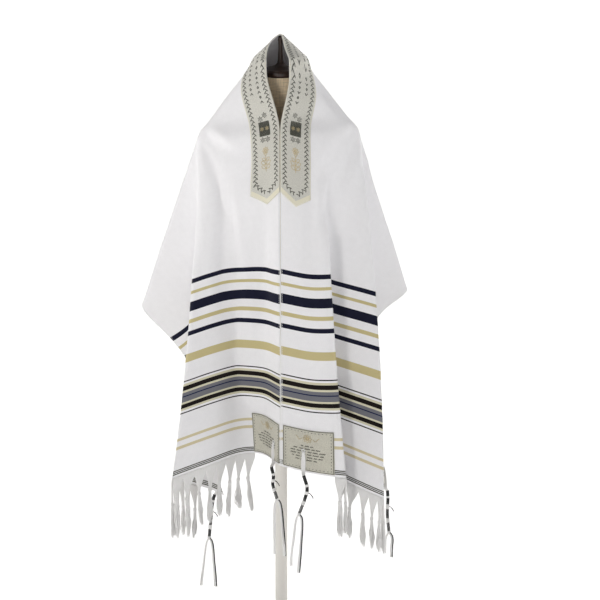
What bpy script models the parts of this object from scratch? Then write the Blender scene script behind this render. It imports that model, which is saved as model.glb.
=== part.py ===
"""A tallit prayer shawl worn as a hood over a limbless linen dress form that stands on a steel stand.

The shawl is one woven rectangle. A point of it is named by how far it lies from the middle of its
length (s, negative on the left) and from the neckband's long edge (t). The cloth hangs from the two
shoulder tips: straight lines run from each tip, or from the line between the throat and the tip, to
the cloth's own edge, and the tables give where that edge lies in space. Metres, +Z up, front at -Y.
"""
import math

import bmesh
import bpy
import numpy as np

# The shawl as it was woven
HALF_LENGTH = 0.915
WIDTH = 0.560
WALL = 0.0015
SEAM_GAP = 0.0005

# Trimmings sewn on the cloth
BAND_WIDTH = 0.065
BAND_CORNER = 0.352
BAND_TIP = 0.372
BAND_WALL = 0.0010
PATCH_LENGTH = 0.092
PATCH_WIDTH = 0.100
PATCH_INSET = 0.004
PATCH_WALL = 0.0008

# Knotted fringe on the two short ends, between the corner patches
STRIP_DEPTH = 0.005
STRIP_GAP = 0.0009
FRINGE_INSET = 0.104
TASSELS = 14
KNOT_DROP = 0.045
TASSEL_DROP = 0.112
TASSEL_SWAY = 0.0015
LOCK_WIDTH = 0.0055
LOCK_DEPTH = 0.0040
LOCK_BEND = 0.0015
LONGER_LOCK = 0.006

# Yarn of one tassel down to where it parts in two locks: drop in knot drops, width, depth
TASSEL_SECTIONS = (
    (0.50, 0.011, 0.004),
    (1.00, 0.006, 0.004),
    (1.10, 0.010, 0.007),
    (1.22, 0.007, 0.005),
)

# Corner tassels, wound with cord, and how far they hang off the cloth's face
WOUND_RADIUS = 0.0033
STRING_RADIUS = 0.0014
TASSEL_STAND_OFF = 0.0075

# The dress form and its stand
CLEAR_OF_FORM = 0.006
NECK_TILT = math.radians(8.0)
POLE_RADIUS = 0.013
BASE_RADIUS = 0.185
BASE_HEIGHT = 0.022
COLLAR_RADIUS = 0.022
COLLAR_HEIGHT = 0.045
POLE_PLATE_RADIUS = 0.030
ROUND_STEPS = 32

# The hood's slopes swell this far between its peak and the shoulder tips
HOOD_BULGE = 0.012

# Round the knob the hood is carried at least this high: flat for the first stretch, then sloping
KNOB_REST = 0.006
HOOD_SLOPE = 0.95
HOOD_REACH = 0.060

# The cloth is divided at least this finely: along it on the hood and below, across it at the front
# folds and elsewhere
STEP_ON_HOOD = 0.030
STEP_BELOW = 0.050
STEP_FOLDS = 0.0180
STEP_ACROSS = 0.0290

# Creases are eased this often and this much, but not so near the peak, shoulder tips and elbow points
EASING_PASSES = 2
EASING = 0.32
CRISP_REACH = 0.075
ELBOW = {"left": (0.400, 0.560), "right": (0.350, 0.560)}

# Throat, where the two front edges come together below the neck: s, x, y, z
THROAT = {"left": (0.215, -0.0012, -0.090, 1.1133), "right": (0.215, 0.0004, -0.090, 1.1133)}

# Front edge from the throat up to the peak of the hood, on each side: s, x, y, z
NECK_EDGE = {
    "left": (
        THROAT["left"],
        (0.166, -0.0094, -0.086, 1.1613),
        (0.122, -0.0186, -0.074, 1.2012),
        (0.078, -0.0252, -0.062, 1.2412),
        (0.042, -0.0250, -0.046, 1.2733),
        (0.000, 0.0012, -0.020, 1.2957),
    ),
    "right": (
        THROAT["right"],
        (0.160, 0.0098, -0.086, 1.1653),
        (0.112, 0.0174, -0.072, 1.2112),
        (0.075, 0.0137, -0.058, 1.2452),
        (0.038, 0.0065, -0.042, 1.2774),
        (0.000, 0.0012, -0.020, 1.2957),
    ),
}

# Middle of the back, from the peak down to the long back edge: t, x, y, z
BACK_CENTRE = (
    (0.000, 0.0012, -0.020, 1.2957),
    (0.030, 0.0006, 0.008, 1.2890),
    (0.080, 0.0000, 0.046, 1.2570),
    (0.190, 0.0000, 0.070, 1.1500),
    (0.380, 0.0000, 0.102, 0.9620),
    (0.560, 0.0000, 0.126, 0.7830),
)

# Shoulder tips: s, t, x, y, z
SHOULDER = {
    "left": (0.184, 0.184, -0.1715, -0.010, 1.0978),
    "right": (0.176, 0.176, 0.1629, -0.010, 1.1061),
}

# Long back edge, from the middle of the back past the elbow point to the rear corner: s, x, y, z
BACK_EDGE = {
    "left": (
        (0.000, 0.0000, 0.126, 0.783),
        (0.100, -0.0700, 0.182, 0.784),
        (0.200, -0.1420, 0.116, 0.748),
        (0.300, -0.2180, 0.180, 0.752),
        (0.400, -0.3057, 0.140, 0.7135),
        (0.500, -0.2400, 0.140, 0.6339),
        (0.540, -0.2144, 0.145, 0.5998),
        (0.660, -0.1913, 0.185, 0.4913),
        (0.790, -0.1713, 0.170, 0.3856),
        (0.915, -0.1266, 0.090, 0.2985),
    ),
    "right": (
        (0.000, 0.0000, 0.126, 0.783),
        (0.090, 0.0640, 0.180, 0.786),
        (0.180, 0.1300, 0.118, 0.760),
        (0.270, 0.2050, 0.185, 0.770),
        (0.350, 0.2765, 0.160, 0.7438),
        (0.430, 0.2188, 0.160, 0.6920),
        (0.600, 0.1915, 0.205, 0.5564),
        (0.760, 0.2048, 0.180, 0.4243),
        (0.915, 0.2294, 0.120, 0.3070),
    ),
}

# Short end behind the front ridge, from the rear corner to the ridge: t, x, y, z
SIDE_HEM = {
    "left": (
        (0.560, -0.1266, 0.090, 0.2985),
        (0.490, -0.1560, 0.032, 0.3280),
        (0.430, -0.1920, -0.008, 0.3480),
        (0.365, -0.2170, -0.065, 0.3680),
        (0.306, -0.2257, -0.118, 0.3858),
    ),
    "right": (
        (0.560, 0.2294, 0.120, 0.3070),
        (0.470, 0.2360, 0.035, 0.3260),
        (0.380, 0.2250, -0.050, 0.3380),
        (0.300, 0.2138, -0.130, 0.3470),
    ),
}

# Fold lines of the front panel: place on the line from throat (0) to shoulder tip (1), then where the
# line meets the short end (t, x, y, z) and how far its middle bows sideways and forward
FRONT_FOLDS = {
    "left": (
        (0.00, 0.000, 0.0001, -0.120, 0.4140, 0.000, -0.006),
        (0.34, 0.100, -0.0520, -0.038, 0.4185, 0.000, 0.004),
        (0.46, 0.132, -0.0790, -0.030, 0.4220, 0.000, 0.006),
        (0.75, 0.218, -0.1450, -0.083, 0.4080, 0.004, -0.004),
        (1.00, 0.306, -0.2257, -0.118, 0.3858, 0.015, -0.010),
    ),
    "right": (
        (0.00, 0.000, 0.0017, -0.120, 0.4140, 0.000, -0.006),
        (0.30, 0.070, 0.0709, -0.122, 0.3972, 0.000, -0.010),
        (0.56, 0.136, 0.1366, -0.128, 0.3900, 0.000, -0.008),
        (0.68, 0.176, 0.1190, -0.088, 0.3880, 0.000, 0.006),
        (0.82, 0.235, 0.1683, -0.105, 0.3617, 0.004, 0.000),
        (1.00, 0.300, 0.2138, -0.130, 0.3470, 0.016, -0.010),
    ),
}
THROAT_TO_SHOULDER_BULGE = -0.020

# Body of the dress form: height, half width, half depth, place of its middle in y
FORM_SECTIONS = (
    (0.520, 0.082, 0.050, 0.006),
    (0.545, 0.098, 0.060, 0.006),
    (0.620, 0.114, 0.070, 0.005),
    (0.700, 0.108, 0.070, 0.001),
    (0.790, 0.098, 0.062, 0.000),
    (0.880, 0.114, 0.068, -0.004),
    (0.960, 0.130, 0.074, -0.006),
    (1.030, 0.140, 0.070, -0.004),
    (1.070, 0.143, 0.060, -0.002),
    (1.090, 0.136, 0.050, 0.000),
    (1.106, 0.108, 0.046, 0.000),
    (1.120, 0.080, 0.044, 0.000),
    (1.140, 0.058, 0.044, -0.001),
    (1.165, 0.047, 0.043, -0.002),
    (1.200, 0.044, 0.042, -0.003),
)
FORM_SQUARENESS = 2.3

# Turned neck cap with the knob that carries the peak of the hood: radius, height above the neck
CAP_PROFILE = (
    (0.0000, 0.0911),
    (0.0025, 0.0904),
    (0.0045, 0.0876),
    (0.0055, 0.0831),
    (0.0045, 0.0771),
    (0.0045, 0.0620),
    (0.0060, 0.0320),
    (0.0120, 0.0210),
    (0.0280, 0.0160),
    (0.0400, 0.0130),
    (0.0430, 0.0095),
    (0.0430, 0.0030),
    (0.0410, 0.0003),
    (0.0000, 0.0003),
)

# The hood rests on the knob's first rows, so the cloth keeps no clearance from them
KNOB_ROWS = 3

# Corner tassels: the eyelet's place on the cloth (s, t), then points of the wound cord and of its two
# ends, each as x and z from where the cord crosses the hem, and how far in y it hangs clear of it
CORNER_TASSELS = {
    "tassel_front_left": {
        "clear": -0.016,
        "eyelet": (-0.867, 0.026),
        "cord": ((0.000, -0.006), (0.004, -0.025), (0.003, -0.045), (0.012, -0.075)),
        "ends": ((0.006, -0.190), (0.027, -0.195)),
    },
    "tassel_front_right": {
        "clear": -0.002,
        "eyelet": (0.867, 0.046),
        "cord": ((0.001, -0.006), (0.008, -0.032), (0.004, -0.053), (-0.009, -0.088)),
        "ends": ((-0.026, -0.197), (-0.010, -0.212)),
    },
    "tassel_rear_left": {
        "clear": 0.002,
        "eyelet": (-0.867, 0.530),
        "cord": ((0.000, -0.006), (-0.005, -0.025), (-0.009, -0.065), (-0.013, -0.103)),
        "ends": ((-0.031, -0.210), (0.000, -0.212)),
    },
    "tassel_rear_right": {
        "clear": 0.002,
        "eyelet": (0.867, 0.530),
        "cord": ((0.000, -0.006), (0.001, -0.025), (0.000, -0.060), (0.004, -0.100)),
        "ends": ((-0.006, -0.148), (0.008, -0.156)),
    },
}


def clear_scene():
    for obj in list(bpy.data.objects):
        bpy.data.objects.remove(obj, do_unlink=True)


def linear(value):
    """One sRGB channel, 0 to 1, as a linear one."""
    return value / 12.92 if value <= 0.04045 else ((value + 0.055) / 1.055) ** 2.4


def finish(name, hex_colour, roughness, metallic=0.0):
    material = bpy.data.materials.new(name)
    material.use_nodes = True
    shader = material.node_tree.nodes["Principled BSDF"]
    channels = [int(hex_colour[k:k + 2], 16) / 255 for k in (1, 3, 5)]
    shader.inputs["Base Color"].default_value = (*map(linear, channels), 1.0)
    shader.inputs["Roughness"].default_value = roughness
    shader.inputs["Metallic"].default_value = metallic
    material.diffuse_color = (*map(linear, channels), 1.0)
    return material


def add_piece(name, mesh, material, parts):
    piece = bpy.data.objects.new(name, mesh)
    mesh.materials.append(material)
    mesh.shade_smooth()
    parts.objects.link(piece)
    return piece


def through(rows, at):
    """A smooth curve through the rows of a table. The first column is where each row lies."""
    rows = np.array(rows, float)
    if rows[0, 0] > rows[-1, 0]:
        rows = rows[::-1]
    where, values = rows[:, 0], rows[:, 1:]
    slopes = np.gradient(values, where, axis=0)
    at = np.clip(np.asarray(at, float), where[0], where[-1])
    k = np.clip(np.searchsorted(where, at, side="right") - 1, 0, len(where) - 2)
    span = (where[k + 1] - where[k])[..., None]
    f = (at - where[k])[..., None] / span
    return ((2 * f**3 - 3 * f**2 + 1) * values[k] + (f**3 - 2 * f**2 + f) * span * slopes[k]
            + (3 * f**2 - 2 * f**3) * values[k + 1] + (f**3 - f**2) * span * slopes[k + 1])


def front_panel(side, s, t):
    """Cloth below the line from the throat to the shoulder tip, in front of the side ridge."""
    tip_s, tip_t, *tip = SHOULDER[side]
    throat_s, *throat = THROAT[side]
    folds = np.array(FRONT_FOLDS[side])
    low, high = np.zeros_like(s), np.ones_like(s)

    def across(u):
        top_s = throat_s + (tip_s - throat_s) * u
        hem_t = np.interp(u, folds[:, 0], folds[:, 1])
        v = (s - top_s) / (HALF_LENGTH - top_s)
        return v, hem_t, tip_t * u + v * (hem_t - tip_t * u)

    for _ in range(40):
        middle = (low + high) / 2
        short = across(middle)[2] < t
        low, high = np.where(short, middle, low), np.where(short, high, middle)
    u = (low + high) / 2
    v, hem_t, _ = across(u)
    u, v = u[:, None], v[:, None]
    throat, tip = np.array(throat), np.array(tip)
    top = throat + (tip - throat) * u
    top[:, 1:2] += 4 * u * (1 - u) * THROAT_TO_SHOULDER_BULGE
    hem = through(folds[:, 1:5], hem_t)
    bow = through(folds[:, [0, 5, 6]], u[:, 0])
    place = top + v * (hem - top)
    place[:, :2] += 4 * np.clip(v * (1 - v), 0, 1) * bow
    return place


def shoulder_fan(side, s, t):
    """Cloth that hangs in straight lines from the shoulder tip to the cloth's edge."""
    tip_s, tip_t, *tip = SHOULDER[side]
    ds, dt = s - tip_s, t - tip_t
    tiny = 1e-9
    reach_s = np.where(ds > 0, (HALF_LENGTH - tip_s) / np.maximum(ds, tiny),
                       tip_s / np.maximum(-ds, tiny))
    reach_t = np.where(dt > 0, (WIDTH - tip_t) / np.maximum(dt, tiny),
                       tip_t / np.maximum(-dt, tiny))
    reach = np.minimum(reach_s, reach_t)
    edge_s, edge_t = tip_s + ds * reach, tip_t + dt * reach
    edge = np.empty((len(s), 3))
    on_neck = (reach_t <= reach_s) & (dt < 0)
    on_back = (reach_t <= reach_s) & (dt >= 0)
    on_hem = (reach_s < reach_t) & (ds > 0)
    on_centre = (reach_s < reach_t) & (ds <= 0)
    edge[on_neck] = through(NECK_EDGE[side], edge_s[on_neck])
    edge[on_back] = through(BACK_EDGE[side], edge_s[on_back])
    edge[on_hem] = through(SIDE_HEM[side], edge_t[on_hem])
    edge[on_centre] = through(BACK_CENTRE, edge_t[on_centre])
    tip = np.array(tip)
    v = 1 / reach
    place = tip + (edge - tip) * v[:, None]
    distance = np.maximum(np.hypot(ds, dt), tiny)
    to_peak = np.clip(-(ds * tip_s + dt * tip_t) / distance / math.hypot(tip_s, tip_t), 0, 1)
    most = 27 / 256
    place[:, 0] += math.copysign(HOOD_BULGE, tip[0]) * to_peak**4 * v**3 * (1 - v) / most
    return place


def half_cloth(side, s, t):
    """Places of cloth points on one side, for s from the middle of the back outwards."""
    tip_s, tip_t = SHOULDER[side][:2]
    ridge_t = FRONT_FOLDS[side][-1][1]
    top_s = THROAT[side][0] + (tip_s - THROAT[side][0]) * t / tip_t
    side_t = tip_t + (ridge_t - tip_t) * (s - tip_s) / (HALF_LENGTH - tip_s)
    front = (s >= top_s) & (t <= side_t) & (s > tip_s)
    place = np.empty((len(s), 3))
    place[front] = front_panel(side, s[front], t[front])
    place[~front] = shoulder_fan(side, s[~front], t[~front])
    return place


def off_the_form(places):
    """Moves points that would lie in the dress form out to its surface, plus a clearance."""
    _, neck_top = neck_frame()
    cap = [(neck_top + height, radius, radius, FORM_SECTIONS[-1][3] - height * math.sin(NECK_TILT))
           for radius, height in CAP_PROFILE[-2:KNOB_ROWS:-1]]
    sections = np.array([*FORM_SECTIONS, *cap])
    z = places[..., 2]
    mid_y = np.interp(z, sections[:, 0], sections[:, 3])
    half_w, half_d = (
        CLEAR_OF_FORM + np.maximum(np.interp(z, sections[:, 0], sections[:, k]),
                                   np.interp(z - CLEAR_OF_FORM, sections[:, 0], sections[:, k]))
        for k in (1, 2))
    x, y = places[..., 0], places[..., 1] - mid_y
    size = ((np.abs(x) / half_w) ** FORM_SQUARENESS
            + (np.abs(y) / half_d) ** FORM_SQUARENESS) ** (1 / FORM_SQUARENESS)
    inside = (size < 1) & (size > 0.05)
    inside &= (z > sections[0, 0] - CLEAR_OF_FORM) & (z < sections[-1, 0] + CLEAR_OF_FORM)
    grow = np.where(inside, 1 / np.maximum(size, 0.05), 1.0)
    moved = places.copy()
    moved[..., 0] = x * grow
    moved[..., 1] = y * grow + mid_y
    return moved


def divided(breaks, steps):
    """Places from the first break to the last, through each one, no further apart than the steps."""
    places = [breaks[0]]
    for a, b, step in zip(breaks, breaks[1:], steps):
        count = max(1, math.ceil((b - a) / step - 0.001))
        places += [a + (b - a) * k / count for k in range(1, count + 1)]
    return np.array(places)


def cloth_grid():
    """Places of the cloth's outer face on a grid of lines along (s) and across (t)."""
    breaks = (0.0, SHOULDER["left"][0], THROAT["left"][0], BAND_CORNER, BAND_TIP,
              HALF_LENGTH - PATCH_INSET - PATCH_LENGTH, HALF_LENGTH - PATCH_INSET, HALF_LENGTH)
    outwards = divided(breaks, [STEP_ON_HOOD] * 4 + [STEP_BELOW] * 3)
    along = np.concatenate([-outwards[:0:-1], outwards])
    breaks = (0.0, PATCH_INSET, BAND_WIDTH / 2, BAND_WIDTH, PATCH_INSET + PATCH_WIDTH, 0.136, 0.176,
              0.300, WIDTH - PATCH_INSET - PATCH_WIDTH, WIDTH - PATCH_INSET, WIDTH)
    across = divided(breaks, [STEP_ACROSS] * 3 + [STEP_FOLDS] * 4 + [STEP_ACROSS] * 3)
    s, t = np.meshgrid(along, across, indexing="ij")
    places = np.empty((*s.shape, 3))
    for side, chosen in (("left", s < 0), ("right", s >= 0)):
        places[chosen] = half_cloth(side, np.abs(s[chosen]), t[chosen])
    places = off_the_form(places)
    for _ in range(EASING_PASSES):
        places = off_the_form(eased(places, along, across))
    return along, across, over_the_knob(places)


def over_the_knob(places):
    """Lifts the peak of the hood where it would sink round the knob of the neck cap."""
    mid_y, height = neck_frame()
    knob_y = mid_y - CAP_PROFILE[0][1] * math.sin(NECK_TILT)
    knob_top = height + CAP_PROFILE[0][1] * math.cos(NECK_TILT) + WALL + SEAM_GAP
    away = np.hypot(places[..., 0], places[..., 1] - knob_y)
    least = knob_top - np.maximum(away - KNOB_REST, 0) * HOOD_SLOPE
    lifted = places.copy()
    under_hood = (away < HOOD_REACH) & (places[..., 2] > height)
    lifted[..., 2] = np.maximum(places[..., 2], np.where(under_hood, least, -1))
    return lifted


def eased(places, along, across):
    """Rounds the creases: a point moves towards the line between its neighbours."""
    crisp = [(0.0, 0.0)]
    for sign, side in ((-1, "left"), (1, "right")):
        crisp += [(sign * s, t) for s, t in (SHOULDER[side][:2], ELBOW[side])]
    away = np.min([np.hypot(along[:, None] - s, across[None, :] - t) for s, t in crisp], axis=0)
    share_of_move = EASING * np.clip(away / CRISP_REACH - 0.4, 0, 1)[..., None]
    result = places.copy()
    for axis, at in ((0, along), (1, across)):
        p, move = np.moveaxis(result, axis, 0), np.moveaxis(share_of_move, axis, 0)[1:-1]
        before, after = np.diff(at)[:-1], np.diff(at)[1:]
        share = (before / (before + after))[:, None, None]
        between = p[:-2] * (1 - share) + p[2:] * share
        q = p.copy()
        q[1:-1] += move * (between - q[1:-1])
        result = np.moveaxis(q, 0, axis)
    return result


def outward(places, along, across):
    """Unit normals of the outer face."""
    normal = np.cross(np.gradient(places, along, axis=0), np.gradient(places, across, axis=1))
    return normal / np.linalg.norm(normal, axis=2, keepdims=True)


def sheet_mesh(name, places, first=0):
    """Triangles on a grid of places, outer face out. first is odd where the cells' diagonals swap."""
    rows, columns = places.shape[:2]
    bm = bmesh.new()
    points = [[bm.verts.new(place) for place in row] for row in places]
    for i in range(rows - 1):
        for j in range(columns - 1):
            a, b, c, d = points[i][j], points[i + 1][j], points[i + 1][j + 1], points[i][j + 1]
            rising = (i + j + first) % 2 == 0
            for half in ((a, b, c), (a, c, d)) if rising else ((a, b, d), (b, c, d)):
                bm.faces.new(half)
    bmesh.ops.remove_doubles(bm, verts=bm.verts, dist=0.00001)
    mesh = bpy.data.meshes.new(name)
    bm.to_mesh(mesh)
    bm.free()
    return mesh


def thicken(piece, thickness, inwards):
    solid = piece.modifiers.new("wall", "SOLIDIFY")
    solid.thickness = thickness
    solid.offset = -1.0 if inwards else 1.0


def nearest(lines, value):
    return int(np.argmin(np.abs(lines - value)))


def make_cloth(grid, material, parts):
    piece = add_piece("shawl_cloth", sheet_mesh("shawl_cloth", grid[2]), material, parts)
    thicken(piece, WALL, inwards=True)


def make_neckband(grid, material, parts):
    """The band on the front edge, with a pointed end on each side."""
    along, across, places = grid
    raised = places + outward(places, along, across) * SEAM_GAP
    rows = [nearest(along, s) for s in (-BAND_TIP, -BAND_CORNER, BAND_CORNER, BAND_TIP)]
    last = nearest(across, BAND_WIDTH)
    raised = raised[:, :last + 1]
    point = 1 - np.abs(across[:last + 1] - BAND_WIDTH / 2)[:, None] / (BAND_WIDTH / 2)
    left, right = (raised[corner] + point * (raised[tip] - raised[corner])
                   for tip, corner in (rows[:2], rows[:1:-1]))
    strip = np.concatenate([left[None], raised[rows[1]:rows[2] + 1], right[None]])
    piece = add_piece("neckband", sheet_mesh("neckband", strip, rows[0]), material, parts)
    thicken(piece, BAND_WALL, inwards=False)


def make_corner_patches(grid, material, parts):
    along, across, places = grid
    raised = places + outward(places, along, across) * SEAM_GAP
    far = HALF_LENGTH - PATCH_INSET
    for side, sign in (("left", -1), ("right", 1)):
        rows = sorted((nearest(along, sign * far), nearest(along, sign * (far - PATCH_LENGTH))))
        for end, t in (("front", PATCH_INSET), ("rear", WIDTH - PATCH_INSET - PATCH_WIDTH)):
            columns = nearest(across, t), nearest(across, t + PATCH_WIDTH)
            mesh = sheet_mesh("patch", raised[rows[0]:rows[1] + 1, columns[0]:columns[1] + 1],
                              rows[0] + columns[0])
            piece = add_piece(f"patch_{end}_{side}", mesh, material, parts)
            thicken(piece, PATCH_WALL, inwards=False)


def ring_faces(bm, ring, next_ring):
    count = len(ring)
    for k in range(count):
        bm.faces.new((ring[k], ring[(k + 1) % count], next_ring[(k + 1) % count], next_ring[k]))


def closed_mesh(name, bm):
    """The finished mesh of a closed body, with all its faces pointing out."""
    bmesh.ops.recalc_face_normals(bm, faces=bm.faces)
    if bm.calc_volume(signed=True) < 0:
        bmesh.ops.reverse_faces(bm, faces=bm.faces)
    mesh = bpy.data.meshes.new(name)
    bm.to_mesh(mesh)
    bm.free()
    return mesh


def four_sided(bm, ring, place, run, turn, width, depth):
    """Carries a lock of yarn with four sides on to a place, and gives its new end."""
    new = [bm.verts.new(place + run * a * width / 2 + turn * b * depth / 2)
           for a, b in ((-1, -1), (1, -1), (1, 1), (-1, 1))]
    ring_faces(bm, ring, new)
    return new


def fringe_strip(bm, top, low, back):
    """The narrow backing, open below each tassel. Gives its columns of four corners."""
    columns = [[bm.verts.new(p) for p in (high, high + b, under + b, under)]
               for high, under, b in zip(top, low, back)]
    for k, (one, two) in enumerate(zip(columns, columns[1:])):
        sides = [(0, 1), (1, 2), (3, 0)]
        if k % 3 == 2:
            sides.append((2, 3))
        for a, b in sides:
            bm.faces.new((one[a], two[a], two[b], one[b]))
    bm.faces.new(columns[0])
    bm.faces.new(columns[-1][::-1])
    return columns


def make_fringe(grid, side, material, parts):
    """A narrow strip along the short end, with knotted tassels that hang from it."""
    along, across, places = grid
    end, before = (0, 1) if side == "left" else (-1, -2)
    down = places[end] - places[before]
    down /= np.linalg.norm(down, axis=1, keepdims=True)
    normal = outward(places, along, across)[end]
    stops = np.linspace(FRINGE_INSET, WIDTH - FRINGE_INSET, 3 * TASSELS + 1)
    if side == "left":
        stops = stops[::-1]
    line, fall, face = (np.stack([np.interp(stops, across, values[:, k]) for k in range(3)], axis=1)
                        for values in (places[end], down, normal))
    low = line + fall * (STRIP_GAP + STRIP_DEPTH)
    bm = bmesh.new()
    columns = fringe_strip(bm, line + fall * STRIP_GAP, low, -face * WALL)
    for n in range(TASSELS):
        first = 3 * n
        three = columns[first:first + 3]
        ring = [c[2] for c in three] + [c[3] for c in reversed(three)]
        middle = (low[first] + low[first + 2]) / 2
        run = (low[first + 2] - low[first]) * (1, 1, 0)
        run /= np.linalg.norm(run)
        turn = np.array((run[1], -run[0], 0))
        sway = TASSEL_SWAY * math.sin(2.3 * n + (1 if side == "left" else 2))
        for drop, width, depth in TASSEL_SECTIONS:
            place = middle - np.array((0, 0, drop * KNOT_DROP)) + run * sway * drop
            spots = ((-1, -1), (0, -1), (1, -1), (1, 1), (0, 1), (-1, 1))
            new = [bm.verts.new(place + run * a * width / 2 + turn * b * depth / 2) for a, b in spots]
            ring_faces(bm, ring, new)
            ring = new
        apart = LOCK_WIDTH * (0.8 + 0.25 * math.sin(1.7 * n))
        for part, aside, longer in (((0, 1, 4, 5), -1, 0.0), ((1, 2, 3, 4), 1, LONGER_LOCK)):
            drop = TASSEL_DROP + longer
            tip = middle - np.array((0, 0, drop)) + run * (1.4 * sway + aside * apart)
            bend = (place + tip) / 2 + run * aside * LOCK_BEND
            lock = [ring[k] for k in part]
            lock = four_sided(bm, lock, bend, run, turn, LOCK_WIDTH, LOCK_DEPTH)
            lock = four_sided(bm, lock, tip, run, turn, LOCK_WIDTH / 2, LOCK_DEPTH / 2)
            bm.faces.new(lock)
    add_piece(f"fringe_{side}", closed_mesh(f"fringe_{side}", bm), material, parts)


def make_corner_tassel(name, grid, material, parts):
    """A cord through the corner eyelet, wound below the hem, that parts in two ends."""
    along, across, places = grid
    s, t = CORNER_TASSELS[name]["eyelet"]
    row, column = nearest(along, s), nearest(across, t)
    normals = outward(places, along, across)
    hem = 0 if s < 0 else -1
    over_hem = places[hem, column] + normals[hem, column] * TASSEL_STAND_OFF
    over_hem[1] += CORNER_TASSELS[name]["clear"]
    points = [places[row, column] + normals[row, column] * (STRING_RADIUS + WOUND_RADIUS / 2)]
    points += [over_hem + np.array((x, 0, z)) for x, z in CORNER_TASSELS[name]["cord"]]
    radii = [STRING_RADIUS] + [WOUND_RADIUS] * (len(points) - 1)
    bm = bmesh.new()
    six_sides = ((-1, -0.6), (0, -1), (1, -0.6), (1, 0.6), (0, 1), (-1, 0.6))
    ring = None
    for place, radius in zip(points, radii):
        new = [bm.verts.new(place + np.array((a * radius, b * radius, 0))) for a, b in six_sides]
        if ring:
            ring_faces(bm, ring, new)
        else:
            bm.faces.new(new)
        ring = new
    halves = ((0, 1, 4, 5), (1, 2, 3, 4))
    across_x, along_y = np.array((1, 0, 0)), np.array((0, 1, 0))
    thick = 2 * STRING_RADIUS
    for part, aside, (x, z) in zip(halves, (-1, 1), CORNER_TASSELS[name]["ends"]):
        parting = points[-1] + across_x * aside * STRING_RADIUS
        tip = over_hem + np.array((x, 0, z))
        end = [ring[k] for k in part]
        end = four_sided(bm, end, (parting + tip) / 2, across_x, along_y, thick, thick)
        end = four_sided(bm, end, tip, across_x, along_y, thick / 2, thick / 2)
        bm.faces.new(end)
    add_piece(name, closed_mesh(name, bm), material, parts)


def neck_frame():
    """Middle of the neck's top, in y and z."""
    height, _, _, mid_y = FORM_SECTIONS[-1]
    return mid_y, height


def make_form(material, parts):
    """Loft through the sections of the limbless body, closed at the hip and at the tilted neck."""
    bm = bmesh.new()
    rings = []
    for number, (height, half_w, half_d, mid_y) in enumerate(FORM_SECTIONS):
        ring = []
        for k in range(ROUND_STEPS):
            turn = 2 * math.pi * k / ROUND_STEPS
            c, s = math.cos(turn), math.sin(turn)
            x = half_w * math.copysign(abs(c) ** (2 / FORM_SQUARENESS), c)
            y = half_d * math.copysign(abs(s) ** (2 / FORM_SQUARENESS), s)
            tilt = math.tan(NECK_TILT) if number == len(FORM_SECTIONS) - 1 else 0.0
            ring.append(bm.verts.new((x, y + mid_y, height + y * tilt)))
        rings.append(ring)
    for low, high in zip(rings, rings[1:]):
        ring_faces(bm, low, high)
    bm.faces.new(rings[0][::-1])
    bm.faces.new(rings[-1])
    mesh = bpy.data.meshes.new("form_body")
    bm.to_mesh(mesh)
    bm.free()
    mesh.set_sharp_from_angle(angle=math.radians(50))
    add_piece("form_body", mesh, material, parts)


def make_turned(name, profile, material, parts, steps=ROUND_STEPS):
    """A turned piece: its profile goes round the Z axis with a Screw modifier."""
    mesh = bpy.data.meshes.new(name)
    points = [(radius, 0.0, height) for radius, height in profile]
    mesh.from_pydata(points, [(k, k + 1) for k in range(len(points) - 1)], [])
    piece = bpy.data.objects.new(name, mesh)
    mesh.materials.append(material)
    parts.objects.link(piece)
    screw = piece.modifiers.new("turning", "SCREW")
    screw.steps = screw.render_steps = steps
    screw.use_merge_vertices = True
    screw.merge_threshold = 0.00005
    screw.use_smooth_shade = True
    return piece


def make_neck_cap(material, parts):
    cap = make_turned("form_neck_cap", CAP_PROFILE, material, parts)
    mid_y, height = neck_frame()
    cap.location = (0.0, mid_y, height)
    cap.rotation_euler = (NECK_TILT, 0.0, 0.0)


def make_stand(material, parts):
    top = FORM_SECTIONS[0][0] - SEAM_GAP
    foot = BASE_HEIGHT + SEAM_GAP
    pole = ((0.0, top), (POLE_PLATE_RADIUS, top), (POLE_PLATE_RADIUS, top - 0.006),
            (POLE_RADIUS, top - 0.010), (POLE_RADIUS, foot + COLLAR_HEIGHT),
            (COLLAR_RADIUS, foot + COLLAR_HEIGHT - 0.005), (COLLAR_RADIUS, foot), (0.0, foot))
    base = ((0.0, BASE_HEIGHT), (0.060, BASE_HEIGHT), (BASE_RADIUS - 0.012, 0.010),
            (BASE_RADIUS - 0.003, 0.007), (BASE_RADIUS, 0.004), (BASE_RADIUS, 0.0), (0.0, 0.0))
    make_turned("stand_pole", pole, material, parts)
    make_turned("stand_base", base, material, parts, steps=2 * ROUND_STEPS)


def main():
    clear_scene()
    parts = bpy.data.collections.new("Tallit on dress form")
    bpy.context.scene.collection.children.link(parts)
    white_cloth = finish("white woven cloth", "#F2F1F3", 0.85)
    woven_band = finish("silver-grey jacquard band", "#C9C9BF", 0.7)
    white_yarn = finish("white twisted yarn", "#F4F3F2", 0.9)
    linen = finish("beige linen", "#C9AE8C", 0.9)
    dark_wood = finish("dark turned wood", "#3A271C", 0.45)
    coated_steel = finish("off-white powder-coated steel", "#E6E4DF", 0.4)
    grid = cloth_grid()
    make_cloth(grid, white_cloth, parts)
    make_neckband(grid, woven_band, parts)
    make_corner_patches(grid, woven_band, parts)
    for side in ("left", "right"):
        make_fringe(grid, side, white_yarn, parts)
    for name in CORNER_TASSELS:
        make_corner_tassel(name, grid, white_yarn, parts)
    make_form(linen, parts)
    make_neck_cap(dark_wood, parts)
    make_stand(coated_steel, parts)


main()
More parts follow.
